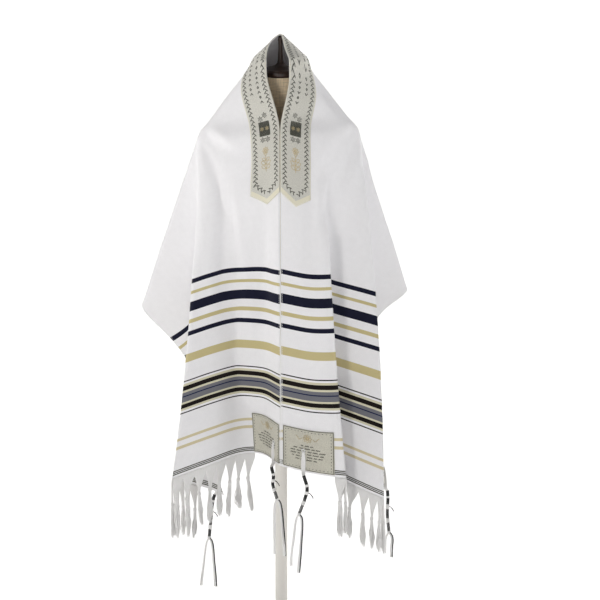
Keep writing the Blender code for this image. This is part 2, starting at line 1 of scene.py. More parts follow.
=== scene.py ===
"""A tallit prayer shawl over a limbless dress form, with its trimmings and the form's stand.

A point of the shawl is named by how far it lies from the middle of its length (s, negative on the
left) and from the neckband's long edge (t), in metres. Front at -Y, +Z up.
"""

import functools
import math

import bpy
import numpy as np
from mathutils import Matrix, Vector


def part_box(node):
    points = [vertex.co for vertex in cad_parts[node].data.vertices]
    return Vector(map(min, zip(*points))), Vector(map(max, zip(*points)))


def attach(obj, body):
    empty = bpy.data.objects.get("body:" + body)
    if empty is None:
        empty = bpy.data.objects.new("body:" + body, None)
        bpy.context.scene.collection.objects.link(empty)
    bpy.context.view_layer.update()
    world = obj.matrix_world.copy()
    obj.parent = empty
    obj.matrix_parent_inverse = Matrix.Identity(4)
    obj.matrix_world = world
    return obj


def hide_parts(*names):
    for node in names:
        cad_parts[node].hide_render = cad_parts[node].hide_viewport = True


bl_info = {
    "name": "Tallit on a dress form",
    "version": (1, 0, 0),
    "blender": (4, 5, 0),
    "location": "3D View > Sidebar > Tallit",
    "description": "Builds a draped prayer shawl with its trimmings, a dress form and a stand",
    "category": "Object",
}

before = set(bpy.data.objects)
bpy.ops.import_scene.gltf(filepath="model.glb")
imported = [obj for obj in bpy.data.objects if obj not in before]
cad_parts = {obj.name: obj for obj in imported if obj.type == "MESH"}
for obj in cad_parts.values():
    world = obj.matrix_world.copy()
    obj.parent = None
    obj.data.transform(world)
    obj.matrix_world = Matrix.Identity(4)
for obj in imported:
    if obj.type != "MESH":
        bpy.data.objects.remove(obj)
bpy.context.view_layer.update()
CAP_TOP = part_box("form_neck_cap")[1][2]
BASE_RADIUS, _, BASE_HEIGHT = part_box("stand_base")[1]
POLE_FOOT, POLE_TOP = (corner[2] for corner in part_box("stand_pole"))

# The shawl as it was woven
HALF_LENGTH = 0.915
WIDTH = 0.560
BAND_WIDTH = 0.065
BAND_CORNER = 0.352
BAND_TIP = 0.372
PATCH_LENGTH = 0.092
PATCH_WIDTH = 0.100
PATCH_INSET = 0.004

# The weave, in millimetres from thread to thread, as drawn
CLOTH_THREADS = 1.3
RIBBON_RIBS = 1.6
LINEN_THREADS = 1.4

# Cream parts of the neckband, in millimetres: width of a selvedge, depth of a point
SELVEDGE = 1.6
CREAM_POINT = 11.0

# Sewing: length of a stitch and the gap after it, how far in from the edge it lies, and thread widths
HEM_STITCH = (0.0030, 0.0016)
HEM_STITCH_IN = 0.0034
BAND_STITCH = (0.0028, 0.0014)
STITCH_WIDTH = 0.0006
PANEL_THREAD = 0.0017
THREAD_HEIGHT = 0.0003

# Ornament of the neckband, in metres along it from its middle and off its middle line. Its zigzag
# border lies in from the edges and ends short of the tips. Then come two rows of marks, which are one
# row near the stars, the dark panels with their rosettes, a larger rosette and a sprig
BORDER_IN, BORDER_PITCH, BORDER_REACH, BORDER_LEAF = 0.009, 0.0092, 0.0027, 0.0029
BORDER_SHORT = 0.020
MARKS, FIRST_MARK, MARK_PITCH, MARK_OFF = 13, 0.038, 0.0105, 0.0085
ONE_ROW_FROM = 11
STARS = ((0.1905, -0.0055), (0.1965, 0.0055), (0.2395, -0.0055), (0.2395, 0.0055))
PANEL_LOW, PANEL_HIGH, PANEL_HALF, PANEL_THREADS = 0.2035, 0.2310, 0.0112, 16
PANEL_ROSETTE, PANEL_ROSETTE_OFF = 0.2170, 0.0055
ROSETTE, SPRIG = 0.262, 0.306

# Ornament of a corner patch, down from its top edge: the rosette, then rows of zigzag, with half the
# width of each
PATCH_ROSETTE = 0.020
PATCH_FIRST_ROW, PATCH_ROW_PITCH = 0.037, 0.0062
PATCH_ROWS = (0.013, 0.028, 0.034, 0.034, 0.032, 0.024)

# Fringe on the two short ends, between the corner patches
FRINGE_INSET = 0.104
TASSELS = 14
KNOT_DROP = 0.045
TASSEL_DROP = 0.112
TASSEL_SWAY = 0.0015
LOCK_WIDTH = 0.0055
LONGER_LOCK = 0.006
RAGGED = 0.0055
FRINGE_SEED = 31

# Corner tassels
TASSEL_STAND_OFF = 0.0075
TASSEL_SEED = 57

# The dress form
CLEAR_OF_FORM = 0.006
NECK_TILT = math.radians(8.0)
FORM_SQUARENESS = 2.3
FORM_STEPS = 96
WAIST = 0.790
HOOD_BULGE = 0.002

# Throat, where the two front edges come together below the neck: s, x, y, z
THROAT = {"left": (0.215, -0.0012, -0.090, 1.1133), "right": (0.215, 0.0004, -0.090, 1.1133)}

# Front edge from the throat up to the peak of the hood, on each side: s, x, y, z
NECK_EDGE = {
    "left": (
        THROAT["left"],
        (0.166, -0.0142, -0.086, 1.1613),
        (0.122, -0.0262, -0.074, 1.2012),
        (0.078, -0.0285, -0.062, 1.2412),
        (0.042, -0.0245, -0.046, 1.2733),
        (0.000, 0.0012, -0.020, 1.2957),
    ),
    "right": (
        THROAT["right"],
        (0.160, 0.0124, -0.086, 1.1653),
        (0.112, 0.0196, -0.072, 1.2112),
        (0.075, 0.0137, -0.058, 1.2452),
        (0.038, 0.0065, -0.042, 1.2774),
        (0.000, 0.0012, -0.020, 1.2957),
    ),
}

# Middle of the back, from the peak down to the long back edge: t, x, y, z
BACK_CENTRE = (
    (0.000, 0.0012, -0.020, 1.2957),
    (0.030, 0.0006, 0.008, 1.2890),
    (0.080, 0.0000, 0.046, 1.2570),
    (0.190, 0.0000, 0.070, 1.1500),
    (0.380, 0.0000, 0.102, 0.9620),
    (0.560, 0.0000, 0.126, 0.7830),
)

# Shoulder tips: s, t, x, y, z
SHOULDER = {
    "left": (0.184, 0.184, -0.1715, -0.010, 1.0978),
    "right": (0.176, 0.176, 0.1629, -0.010, 1.1061),
}

# Long back edge, from the middle of the back past the elbow point to the rear corner: s, x, y, z
BACK_EDGE = {
    "left": (
        (0.000, 0.0000, 0.126, 0.783),
        (0.100, -0.0700, 0.182, 0.784),
        (0.200, -0.1420, 0.116, 0.748),
        (0.300, -0.2180, 0.180, 0.752),
        (0.400, -0.3057, 0.140, 0.7135),
        (0.500, -0.2400, 0.140, 0.6339),
        (0.540, -0.2144, 0.145, 0.5998),
        (0.660, -0.1913, 0.185, 0.4913),
        (0.790, -0.1713, 0.170, 0.3856),
        (0.915, -0.1266, 0.090, 0.2985),
    ),
    "right": (
        (0.000, 0.0000, 0.126, 0.783),
        (0.090, 0.0640, 0.180, 0.786),
        (0.180, 0.1300, 0.118, 0.760),
        (0.270, 0.2050, 0.185, 0.770),
        (0.350, 0.2765, 0.160, 0.7438),
        (0.430, 0.2188, 0.160, 0.6920),
        (0.600, 0.1915, 0.205, 0.5564),
        (0.760, 0.2048, 0.180, 0.4243),
        (0.915, 0.2260, 0.120, 0.3070),
    ),
}

# Short end behind the front ridge, from the rear corner to the ridge: t, x, y, z
SIDE_HEM = {
    "left": (
        (0.560, -0.1266, 0.090, 0.2985),
        (0.490, -0.1560, 0.032, 0.3280),
        (0.430, -0.1920, -0.008, 0.3480),
        (0.365, -0.2170, -0.065, 0.3680),
        (0.306, -0.2257, -0.118, 0.3858),
    ),
    "right": (
        (0.560, 0.2260, 0.120, 0.3070),
        (0.470, 0.2200, 0.035, 0.3260),
        (0.380, 0.2140, -0.050, 0.3380),
        (0.300, 0.2138, -0.130, 0.3470),
    ),
}

# Fold lines of the front panel: place on the line from throat (0) to shoulder tip (1), then where the
# line meets the short end (t, x, y, z) and how far its middle bows sideways and forward
FRONT_FOLDS = {
    "left": (
        (0.00, 0.000, 0.0001, -0.120, 0.4140, 0.000, -0.006),
        (0.34, 0.100, -0.0520, -0.038, 0.4225, 0.000, 0.004),
        (0.46, 0.132, -0.0790, -0.034, 0.4200, 0.000, 0.004),
        (0.75, 0.218, -0.1450, -0.083, 0.4080, 0.004, -0.004),
        (1.00, 0.306, -0.2257, -0.118, 0.3858, 0.015, -0.010),
    ),
    "right": (
        (0.00, 0.000, 0.0010, -0.120, 0.4140, 0.000, -0.006),
        (0.30, 0.070, 0.0709, -0.122, 0.3972, 0.000, -0.010),
        (0.56, 0.136, 0.1366, -0.128, 0.3900, -0.006, -0.008),
        (0.68, 0.176, 0.1150, -0.088, 0.3850, -0.020, 0.002),
        (0.82, 0.235, 0.1683, -0.105, 0.3617, 0.004, 0.000),
        (1.00, 0.300, 0.2138, -0.130, 0.3470, 0.016, -0.010),
    ),
}
THROAT_TO_SHOULDER_BULGE = -0.020

# How much of the ridge's bow the cloth beside it follows
FAN_SWING = 0.75

# Body of the dress form: height, half width, half depth, place of its middle in y
FORM_SECTIONS = (
    (0.520, 0.082, 0.050, 0.006),
    (0.545, 0.098, 0.060, 0.006),
    (0.620, 0.114, 0.070, 0.005),
    (0.700, 0.108, 0.070, 0.001),
    (0.790, 0.098, 0.062, 0.000),
    (0.880, 0.114, 0.068, -0.004),
    (0.960, 0.130, 0.074, -0.006),
    (1.030, 0.140, 0.070, -0.004),
    (1.070, 0.143, 0.060, -0.002),
    (1.090, 0.136, 0.050, 0.000),
    (1.106, 0.108, 0.046, 0.000),
    (1.120, 0.080, 0.044, 0.000),
    (1.140, 0.058, 0.044, -0.001),
    (1.165, 0.047, 0.043, -0.002),
    (1.210, 0.044, 0.042, -0.003),
)

# Turned neck cap and the knob that carries the peak of the hood: radius, height above the neck. The
# first rows are the knob's rounded top, and from the plate on the edges are sharp
KNOB_ROWS = 4
PLATE_ROW = 8
CAP_PROFILE = (
    (0.0000, 0.0811),
    (0.0025, 0.0804),
    (0.0045, 0.0776),
    (0.0055, 0.0731),
    (0.0045, 0.0671),
    (0.0045, 0.0540),
    (0.0060, 0.0300),
    (0.0120, 0.0210),
    (0.0280, 0.0160),
    (0.0400, 0.0130),
    (0.0430, 0.0095),
    (0.0430, 0.0030),
    (0.0410, 0.0003),
    (0.0000, 0.0003),
)

# Corner tassels: the eyelet's place on the cloth (s, t), then points of the wound cord and of its two
# ends, each as x and z from where the cord crosses the hem, and how far in y it hangs clear of it
CORNER_TASSELS = {
    "front_left": {
        "clear": -0.016,
        "eyelet": (-0.867, 0.026),
        "cord": ((0.000, -0.006), (0.004, -0.025), (0.003, -0.045), (0.012, -0.075)),
        "ends": ((0.006, -0.190), (0.027, -0.195)),
    },
    "front_right": {
        "clear": -0.002,
        "eyelet": (0.867, 0.046),
        "cord": ((0.001, -0.006), (0.008, -0.032), (0.004, -0.053), (-0.009, -0.088)),
        "ends": ((-0.026, -0.197), (-0.010, -0.212)),
    },
    "rear_left": {
        "clear": 0.002,
        "eyelet": (-0.867, 0.530),
        "cord": ((0.000, -0.006), (-0.005, -0.025), (-0.009, -0.065), (-0.013, -0.103)),
        "ends": ((-0.031, -0.210), (0.000, -0.212)),
    },
    "rear_right": {
        "clear": 0.002,
        "eyelet": (0.867, 0.530),
        "cord": ((0.000, -0.006), (0.001, -0.025), (0.000, -0.060), (0.004, -0.100)),
        "ends": ((-0.006, -0.148), (0.008, -0.156)),
    },
}

# How the cloth's weight stretches the front panel: place on the way from the throat line to the hem,
# and how much further down the woven place there hangs, as a share of that way
SAG = ((0.00, 0.0000), (0.20, 0.0000), (0.40, 0.0240), (0.60, 0.0225), (0.80, 0.0200), (1.00, 0.0000))

# How much of that sag there is: place on the line from throat (0) to shoulder tip (1), then the share
SAG_SHARE = {
    "left": ((0.00, 1.00), (0.20, 0.74), (0.40, 0.45), (0.60, 0.18), (0.80, 0.03), (1.00, 0.00)),
    "right": ((0.00, 0.80), (0.30, 0.60), (0.56, 0.00), (0.68, 0.40), (0.82, 0.55), (1.00, 0.60)),
}

# Folds that stay sharp: from (s, t) to (s, t)
SHARP_FOLDS = (
    (0.000, 0.000, 0.000, 0.012),
    (-0.184, 0.184, -0.915, 0.306),
    (-0.184, 0.184, -0.400, 0.560),
    (0.176, 0.176, 0.915, 0.300),
    (0.176, 0.176, 0.350, 0.560),
    (0.420, 0.112, 0.915, 0.138),
    (0.420, 0.125, 0.915, 0.176),
)

# Soft creases of the cloth: from (s, t) to (s, t), half width and depth. Troughs are positive
CREASES = (
    (-0.192, 0.172, -0.350, 0.066, 0.012, 0.0100),
    (-0.205, 0.180, -0.430, 0.110, 0.013, 0.0080),
    (-0.190, 0.150, -0.255, 0.080, 0.009, -0.0040),
    (-0.300, 0.140, -0.640, 0.165, 0.017, 0.0090),
    (-0.370, 0.050, -0.600, 0.050, 0.014, 0.0070),
    (-0.340, 0.095, -0.640, 0.100, 0.017, -0.0060),
    (-0.240, 0.210, -0.620, 0.235, 0.014, 0.0040),
    (-0.260, 0.250, -0.560, 0.330, 0.015, -0.0040),
    (-0.230, 0.260, -0.380, 0.400, 0.013, 0.0030),
    (-0.210, 0.280, -0.300, 0.480, 0.014, 0.0034),
    (-0.170, 0.250, -0.180, 0.470, 0.014, 0.0030),
    (-0.120, 0.200, -0.040, 0.330, 0.013, 0.0028),
    (-0.520, 0.400, -0.760, 0.420, 0.018, 0.0030),
    (-0.560, 0.480, -0.850, 0.500, 0.016, -0.0028),
    (0.184, 0.166, 0.330, 0.072, 0.011, 0.0110),
    (0.200, 0.172, 0.420, 0.088, 0.013, 0.0095),
    (0.200, 0.150, 0.260, 0.090, 0.007, -0.0040),
    (0.110, 0.075, 0.175, 0.150, 0.011, 0.0090),
    (0.300, 0.060, 0.520, 0.070, 0.013, 0.0060),
    (0.230, 0.190, 0.480, 0.150, 0.012, 0.0045),
    (0.250, 0.230, 0.600, 0.265, 0.014, 0.0045),
    (0.230, 0.240, 0.420, 0.380, 0.013, 0.0030),
    (0.210, 0.260, 0.290, 0.450, 0.014, 0.0034),
    (0.160, 0.240, 0.150, 0.460, 0.013, 0.0032),
    (0.110, 0.190, 0.050, 0.320, 0.012, 0.0026),
    (0.500, 0.390, 0.780, 0.400, 0.018, 0.0032),
    (0.540, 0.470, 0.840, 0.490, 0.016, -0.0030),
    (-0.060, 0.100, -0.090, 0.190, 0.010, 0.0022),
    (0.060, 0.100, 0.085, 0.185, 0.010, 0.0024),
)

# Woven stripes: millimetres up from the short end, then the yarn
STRIPES = (
    (5.5, 8.0, "olive"),
    (9.3, 11.6, "olive"),
    (12.9, 15.4, "olive"),
    (60.0, 66.5, "pale gold"),
    (78.0, 84.0, "pale gold"),
    (135.5, 138.0, "brown-black"),
    (142.5, 147.0, "cream"),
    (147.0, 156.0, "brown-black"),
    (156.0, 160.0, "cream"),
    (160.0, 171.0, "grey-blue"),
    (171.0, 173.5, "navy"),
    (173.5, 180.5, "grey-blue"),
    (180.5, 185.0, "cream"),
    (185.0, 194.5, "brown-black"),
    (194.5, 199.5, "cream"),
    (203.5, 206.0, "brown-black"),
    (245.0, 262.5, "gold"),
    (301.0, 310.5, "navy-black"),
    (327.0, 335.5, "gold"),
    (352.5, 372.5, "navy-black"),
    (389.0, 395.5, "gold"),
    (411.5, 421.0, "navy-black"),
)
YARNS = {
    "olive": "#4A4B40",
    "pale gold": "#D5C9A6",
    "gold": "#C8BB8B",
    "cream": "#D6D1B8",
    "brown-black": "#17110F",
    "grey-blue": "#73747B",
    "navy": "#1D2447",
    "navy-black": "#14162B",
}

# The studio: a round white floor that bends up into a wall behind and beside the part, open in front
SWEEP_WALL, SWEEP_BEND, SWEEP_HEIGHT = 9.0, 3.0, 12.0
SWEEP_TURN, OPEN_FLOOR = math.radians(125.0), 30.0
WORLD_TINT, WORLD_STRENGTH = (0.96, 0.97, 1.0, 1.0), 0.14
CAMERA_PLACE, CAMERA_TILT, CAMERA_LENS = (0.040, -3.615, 1.250), math.radians(82.0), 104.35

# Square lamps: place, point that they face, side, watts, tint and width of the beam in degrees
LAMPS = {
    "key": ((-1.9, -2.8, 1.60), (-0.1, 0.0, 1.32), 0.8, 7.2, (1.0, 0.985, 0.96), 80.0),
    "fill": ((3.0, -1.9, 1.5), (0.1, 0.0, 1.1), 1.4, 5.0, (0.97, 0.985, 1.0), 120.0),
    "back": ((1.6, 2.6, 2.2), (0.0, 0.0, 0.9), 1.4, 12.0, (1.0, 1.0, 1.0), 180.0),
}

# Windings of a corner tassel: where each starts and ends along the wound cord, and its yarn
WINDINGS = (
    (0.00, 0.24, "black"),
    (0.24, 0.30, "white"),
    (0.30, 0.46, "black"),
    (0.46, 0.56, "white"),
    (0.56, 0.74, "black"),
    (0.74, 0.82, "white"),
    (0.82, 0.97, "black"),
    (0.97, 1.00, "white"),
)


def linear_channel(value):
    return value / 12.92 if value <= 0.04045 else ((value + 0.055) / 1.055) ** 2.4


def linear(hex_colour):
    """An sRGB hex colour as linear red, green and blue."""
    return tuple(linear_channel(int(hex_colour[k:k + 2], 16) / 255) for k in (1, 3, 5))


def colour(name, description, hex_colour):
    return bpy.props.FloatVectorProperty(name=name, description=description, subtype="COLOR", size=3,
                                         min=0.0, max=1.0, default=linear(hex_colour))


def length(name, description, default):
    return bpy.props.FloatProperty(name=name, description=description, default=default, min=0.0,
                                   unit="LENGTH", subtype="DISTANCE", precision=4)


class TallitSizes(bpy.types.PropertyGroup):
    """Sizes of the cloth, its trimmings and its yarns."""
    cloth_wall: length("Cloth", "Thickness of the woven cloth", 0.0009)
    ribbon_wall: length("Ribbon", "Thickness of the neckband and the corner patches", 0.0006)
    ribbon_lift: length("Ribbon lift", "Air between the cloth and a ribbon sewn on it", 0.0005)
    hem_width: length("Hem", "Width of the narrow rolled hem on the long edges", 0.0020)
    ornament_thread: length("Ornament thread", "Width of a woven ornament's outline", 0.0017)
    fringe_thread: length("Fringe thread", "Radius of a fringe thread", 0.00072)
    string_radius: length("Tassel string", "Radius of a corner tassel's string", 0.0013)
    winding_radius: length("Winding", "Radius of the thread wound round a corner tassel", 0.0009)
    core_radius: length("Core", "Radius of a corner tassel's core of strings", 0.0024)
    fringe_threads: bpy.props.IntProperty(name="Threads", description="Threads in one fringe tassel",
                                          default=44, min=6, max=60)


class TallitColours(bpy.types.PropertyGroup):
    """Colours of the yarns, the form and the stand."""
    cloth: colour("Cloth", "Bleached white yarn of the cloth", "#F6F5F7")
    hem: colour("Hem", "White yarn of the rolled hem", "#FAFAF8")
    ribbon: colour("Ribbon", "Silver-grey ground of the neckband", "#D0CEC5")
    ribbon_edge: colour("Ribbon edge", "Cream selvedge and points of the neckband", "#E4DFCA")
    patch: colour("Patch", "Silvery ground of the corner patches", "#CBC8BA")
    ornament: colour("Ornament", "Dark grey-green thread of the woven ornament", "#3B3C2C")
    emblem: colour("Emblem", "Gold thread of the woven sprigs", "#CDBB90")
    white_yarn: colour("Fringe", "White yarn of the fringe and the corner tassels", "#F5F4F3")
    black_yarn: colour("Winding", "Black thread wound round the corner tassels", "#101014")
    linen: colour("Linen", "Natural linen that covers the form", "#EFDAB8")
    wood: colour("Neck cap", "Dark stained beech of the neck cap", "#2E1D14")
    steel: colour("Stand", "Off-white powder coat of the stand", "#E4E1DB")
    floor: colour("Floor", "White acrylic floor of the studio", "#F4F3F1")


def sizes():
    return bpy.context.scene.tallit_sizes


def colours():
    return bpy.context.scene.tallit_colours


# Drape of the cloth

def through(rows, at):
    """A smooth curve through the rows of a table. The first column is where each row lies."""
    rows = np.array(rows, float)
    if rows[0, 0] > rows[-1, 0]:
        rows = rows[::-1]
    where, values = rows[:, 0], rows[:, 1:]
    slopes = np.gradient(values, where, axis=0)
    at = np.clip(np.asarray(at, float), where[0], where[-1])
    k = np.clip(np.searchsorted(where, at, side="right") - 1, 0, len(where) - 2)
    span = (where[k + 1] - where[k])[..., None]
    f = (at - where[k])[..., None] / span
    return ((2 * f**3 - 3 * f**2 + 1) * values[k] + (f**3 - 2 * f**2 + f) * span * slopes[k]
            + (3 * f**2 - 2 * f**3) * values[k + 1] + (f**3 - f**2) * span * slopes[k + 1])


def front_panel(side, s, t):
    """Cloth below the line from the throat to the shoulder tip, in front of the side ridge."""
    tip_s, tip_t, *tip = SHOULDER[side]
    throat_s, *throat = THROAT[side]
    folds = np.array(FRONT_FOLDS[side])
    low, high = np.zeros_like(s), np.ones_like(s)

    def across(u):
        top_s = throat_s + (tip_s - throat_s) * u
        hem_t = np.interp(u, folds[:, 0], folds[:, 1])
        v = (s - top_s) / (HALF_LENGTH - top_s)
        return v, hem_t, tip_t * u + v * (hem_t - tip_t * u)

    for _ in range(40):
        middle = (low + high) / 2
        short = across(middle)[2] < t
        low, high = np.where(short, middle, low), np.where(short, high, middle)
    u = (low + high) / 2
    v, hem_t, _ = across(u)
    v = v + through(SAG, v)[:, 0] * np.interp(u, *np.transpose(SAG_SHARE[side]))
    u, v = u[:, None], v[:, None]
    throat, tip = np.array(throat), np.array(tip)
    top = throat + (tip - throat) * u
    top[:, 1:2] += 4 * u * (1 - u) * THROAT_TO_SHOULDER_BULGE
    hem = through(folds[:, 1:5], hem_t)
    bow = through(folds[:, [0, 5, 6]], u[:, 0])
    place = top + v * (hem - top)
    place[:, :2] += 4 * np.clip(v * (1 - v), 0, 1) * bow
    return place


def shoulder_fan(side, s, t):
    """Cloth that hangs in straight lines from the shoulder tip to the cloth's edge."""
    tip_s, tip_t, *tip = SHOULDER[side]
    ds, dt = s - tip_s, t - tip_t
    tiny = 1e-9
    reach_s = np.where(ds > 0, (HALF_LENGTH - tip_s) / np.maximum(ds, tiny),
                       tip_s / np.maximum(-ds, tiny))
    reach_t = np.where(dt > 0, (WIDTH - tip_t) / np.maximum(dt, tiny),
                       tip_t / np.maximum(-dt, tiny))
    reach = np.minimum(reach_s, reach_t)
    edge_s, edge_t = tip_s + ds * reach, tip_t + dt * reach
    edge = np.empty((len(s), 3))
    on_neck = (reach_t <= reach_s) & (dt < 0)
    on_back = (reach_t <= reach_s) & (dt >= 0)
    on_hem = (reach_s < reach_t) & (ds > 0)
    on_centre = (reach_s < reach_t) & (ds <= 0)
    edge[on_neck] = through(NECK_EDGE[side], edge_s[on_neck])
    edge[on_back] = through(BACK_EDGE[side], edge_s[on_back])
    edge[on_hem] = through(SIDE_HEM[side], edge_t[on_hem])
    edge[on_centre] = through(BACK_CENTRE, edge_t[on_centre])
    tip = np.array(tip)
    v = 1 / reach
    ridge_t = FRONT_FOLDS[side][-1][1]
    fade = SAG_SHARE[side][-1][1] * (WIDTH - edge_t[on_hem]) / (WIDTH - ridge_t)
    v[on_hem] += through(SAG, v[on_hem])[:, 0] * fade
    place = tip + (edge - tip) * v[:, None]
    swing = 4 * v[on_hem] * (1 - v[on_hem]) * ((WIDTH - edge_t[on_hem]) / (WIDTH - ridge_t)) ** 2
    place[on_hem, :2] += FAN_SWING * swing[:, None] * np.array(FRONT_FOLDS[side][-1][5:7])
    distance = np.maximum(np.hypot(ds, dt), tiny)
    to_peak = np.clip(-(ds * tip_s + dt * tip_t) / distance / math.hypot(tip_s, tip_t), 0, 1)
    most = 27 / 256
    place[:, 0] += math.copysign(HOOD_BULGE, tip[0]) * to_peak**4 * v**3 * (1 - v) / most
    return place


def half_cloth(side, s, t):
    """Places of cloth points on one side, for s from the middle of the back outwards."""
    tip_s, tip_t = SHOULDER[side][:2]
    ridge_t = FRONT_FOLDS[side][-1][1]
    top_s = THROAT[side][0] + (tip_s - THROAT[side][0]) * t / tip_t
    side_t = tip_t + (ridge_t - tip_t) * (s - tip_s) / (HALF_LENGTH - tip_s)
    front = (s >= top_s) & (t <= side_t) & (s > tip_s)
    place = np.empty((len(s), 3))
    place[front] = front_panel(side, s[front], t[front])
    place[~front] = shoulder_fan(side, s[~front], t[~front])
    return place


def off_the_form(places):
    """Moves points that would lie in the dress form out to its surface, plus a clearance."""
    core = 0.05
    neck_top, _, _, middle = FORM_SECTIONS[-1]
    cap = [(neck_top + height, radius, radius, middle - height * math.sin(NECK_TILT))
           for radius, height in CAP_PROFILE[KNOB_ROWS:-1][::-1]]
    sections = np.array([*FORM_SECTIONS, *cap])
    z = places[..., 2]
    mid_y = np.interp(z, sections[:, 0], sections[:, 3])
    half_w, half_d = (
        CLEAR_OF_FORM + np.maximum(np.interp(z, sections[:, 0], sections[:, k]),
                                   np.interp(z - CLEAR_OF_FORM, sections[:, 0], sections[:, k]))
        for k in (1, 2))
    x, y = places[..., 0], places[..., 1] - mid_y
    size = ((np.abs(x) / half_w) ** FORM_SQUARENESS
            + (np.abs(y) / half_d) ** FORM_SQUARENESS) ** (1 / FORM_SQUARENESS)
    inside = (size < 1) & (size > core)
    inside &= (z > sections[0, 0] - CLEAR_OF_FORM) & (z < sections[-1, 0] + CLEAR_OF_FORM)
    grow = np.where(inside, 1 / np.maximum(size, core), 1.0)
    moved = places.copy()
    moved[..., 0] = x * grow
    moved[..., 1] = y * grow + mid_y
    return moved


def over_the_knob(places):
    """Lifts the peak of the hood where it would sink round the knob of the neck cap."""
    rest, slope, reach, clear = 0.006, 0.95, 0.060, 0.0008
    knob_y = FORM_SECTIONS[-1][3] - CAP_PROFILE[0][1] * math.sin(NECK_TILT)
    knob_top = CAP_TOP + sizes().cloth_wall + clear
    away = np.hypot(places[..., 0], places[..., 1] - knob_y)
    least = knob_top - np.maximum(away - rest, 0) * slope
    lifted = places.copy()
    under_hood = (away < reach) & (places[..., 2] > FORM_SECTIONS[-1][0])
    lifted[..., 2] = np.maximum(places[..., 2], np.where(under_hood, least, -1))
    return lifted


def off_line(s, t, line):
    """How far points lie from a line from (s0, t0) to (s1, t1), and how far along it, from 0 to 1."""
    s0, t0, s1, t1 = line
    run = s1 - s0, t1 - t0
    along = np.clip(((s - s0) * run[0] + (t - t0) * run[1]) / (run[0] ** 2 + run[1] ** 2), 0, 1)
    return np.hypot(s - s0 - along * run[0], t - t0 - along * run[1]), along


def eased(places, along, across, passes):
    """Rounds the creases: a point moves towards the middle of its neighbours, less at sharp folds."""
    share, crisp_reach = 0.32, 0.024
    s, t = np.meshgrid(along, across, indexing="ij")
    away = np.min([off_line(s, t, line)[0] for line in SHARP_FOLDS], axis=0)
    move = share * np.clip(away / crisp_reach, 0.30, 1)[..., None]
    for _ in range(passes):
        places[1:-1] += move[1:-1] * ((places[:-2] + places[2:]) / 2 - places[1:-1])
        places[:, 1:-1] += move[:, 1:-1] * ((places[:, :-2] + places[:, 2:]) / 2 - places[:, 1:-1])
    return places


def unit(vectors):
    """The vectors at a length of 1."""
    return vectors / np.maximum(np.linalg.norm(vectors, axis=-1, keepdims=True), 1e-12)


def outward(places, along, across):
    """Unit normals of the outer face."""
    return unit(np.cross(np.gradient(places, along, axis=0), np.gradient(places, across, axis=1)))


def creased(along, across):
    """How far the creases and the small unevenness of worn cloth move each point inwards."""
    s, t = np.meshgrid(along, across, indexing="ij")
    inwards = np.zeros_like(s)
    for *line, half_width, depth in CREASES:
        off, u = off_line(s, t, line)
        fade = u ** 0.5 * (1 - u) * 2.6
        widening = half_width * (0.7 + 0.8 * u)
        inwards += depth * np.clip(fade, 0, 1) * np.exp(-(off / widening) ** 2)
    for ks, kt, turn, size in ((31, 17, 0.3, 0.00030), (47, -39, 1.9, 0.00022), (83, 61, 4.0, 0.00012)):
        inwards += size * np.sin(ks * s + kt * t + turn) * np.sin(0.7 * kt * s - ks * t + 2 * turn)
    return inwards


@functools.lru_cache(maxsize=1)
def drape():
    """The draped cloth: lines along and across, places of its outer face there, and its normals."""
    cell, passes = 0.006, 12
    half = np.linspace(0, HALF_LENGTH, round(HALF_LENGTH / cell) + 1)
    along = np.concatenate([-half[:0:-1], half])
    across = np.linspace(0, WIDTH, round(WIDTH / cell) + 1)
    s, t = np.meshgrid(along, across, indexing="ij")
    places = np.empty((*s.shape, 3))
    for side, chosen in (("left", s < 0), ("right", s >= 0)):
        places[chosen] = half_cloth(side, np.abs(s[chosen]), t[chosen])
    places = off_the_form(places)
    places = eased(places, along, across, passes)
    places = over_the_knob(off_the_form(places))
    normals = outward(places, along, across)
    edge_fade = np.clip(np.minimum(t, WIDTH - t) / 0.012, 0.25, 1)
    places = places - normals * (creased(along, across) * edge_fade)[..., None]
    places = over_the_knob(off_the_form(places))
    places = eased(places, along, across, 2)
    return along, across, places, outward(places, along, across)


def on_cloth(s, t, lift=0.0):
    """Places over the cloth's outer face, lifted off it. Past an edge it goes straight on."""
    along, across, places, normals = drape()
    s, t = np.broadcast_arrays(np.asarray(s, float), np.asarray(t, float))
    i = np.clip(np.searchsorted(along, s, side="right") - 1, 0, len(along) - 2)
    j = np.clip(np.searchsorted(across, t, side="right") - 1, 0, len(across) - 2)
    f = ((s - along[i]) / (along[i + 1] - along[i]))[..., None]
    g = ((t - across[j]) / (across[j + 1] - across[j]))[..., None]

    def mixed(values):
        return ((values[i, j] * (1 - f) + values[i + 1, j] * f) * (1 - g)
                + (values[i, j + 1] * (1 - f) + values[i + 1, j + 1] * f) * g)

    return mixed(places) + mixed(normals) * np.asarray(lift)[..., None]


# Meshes

def add_mesh(name, points, faces, material, woven=None):
    """A new mesh piece. woven gives each point's place on the flat cloth."""
    mesh = bpy.data.meshes.new(name)
    mesh.from_pydata(np.asarray(points).tolist(), [], faces)
    mesh.validate()
    mesh.materials.append(material)
    mesh.shade_smooth()
    if woven is not None:
        attribute = mesh.attributes.new("woven_place", "FLOAT_VECTOR", "POINT")
        attribute.data.foreach_set("vector", np.asarray(woven, np.float32).ravel())
    piece = bpy.data.objects.new(name, mesh)
    bpy.context.scene.collection.objects.link(piece)
    return piece


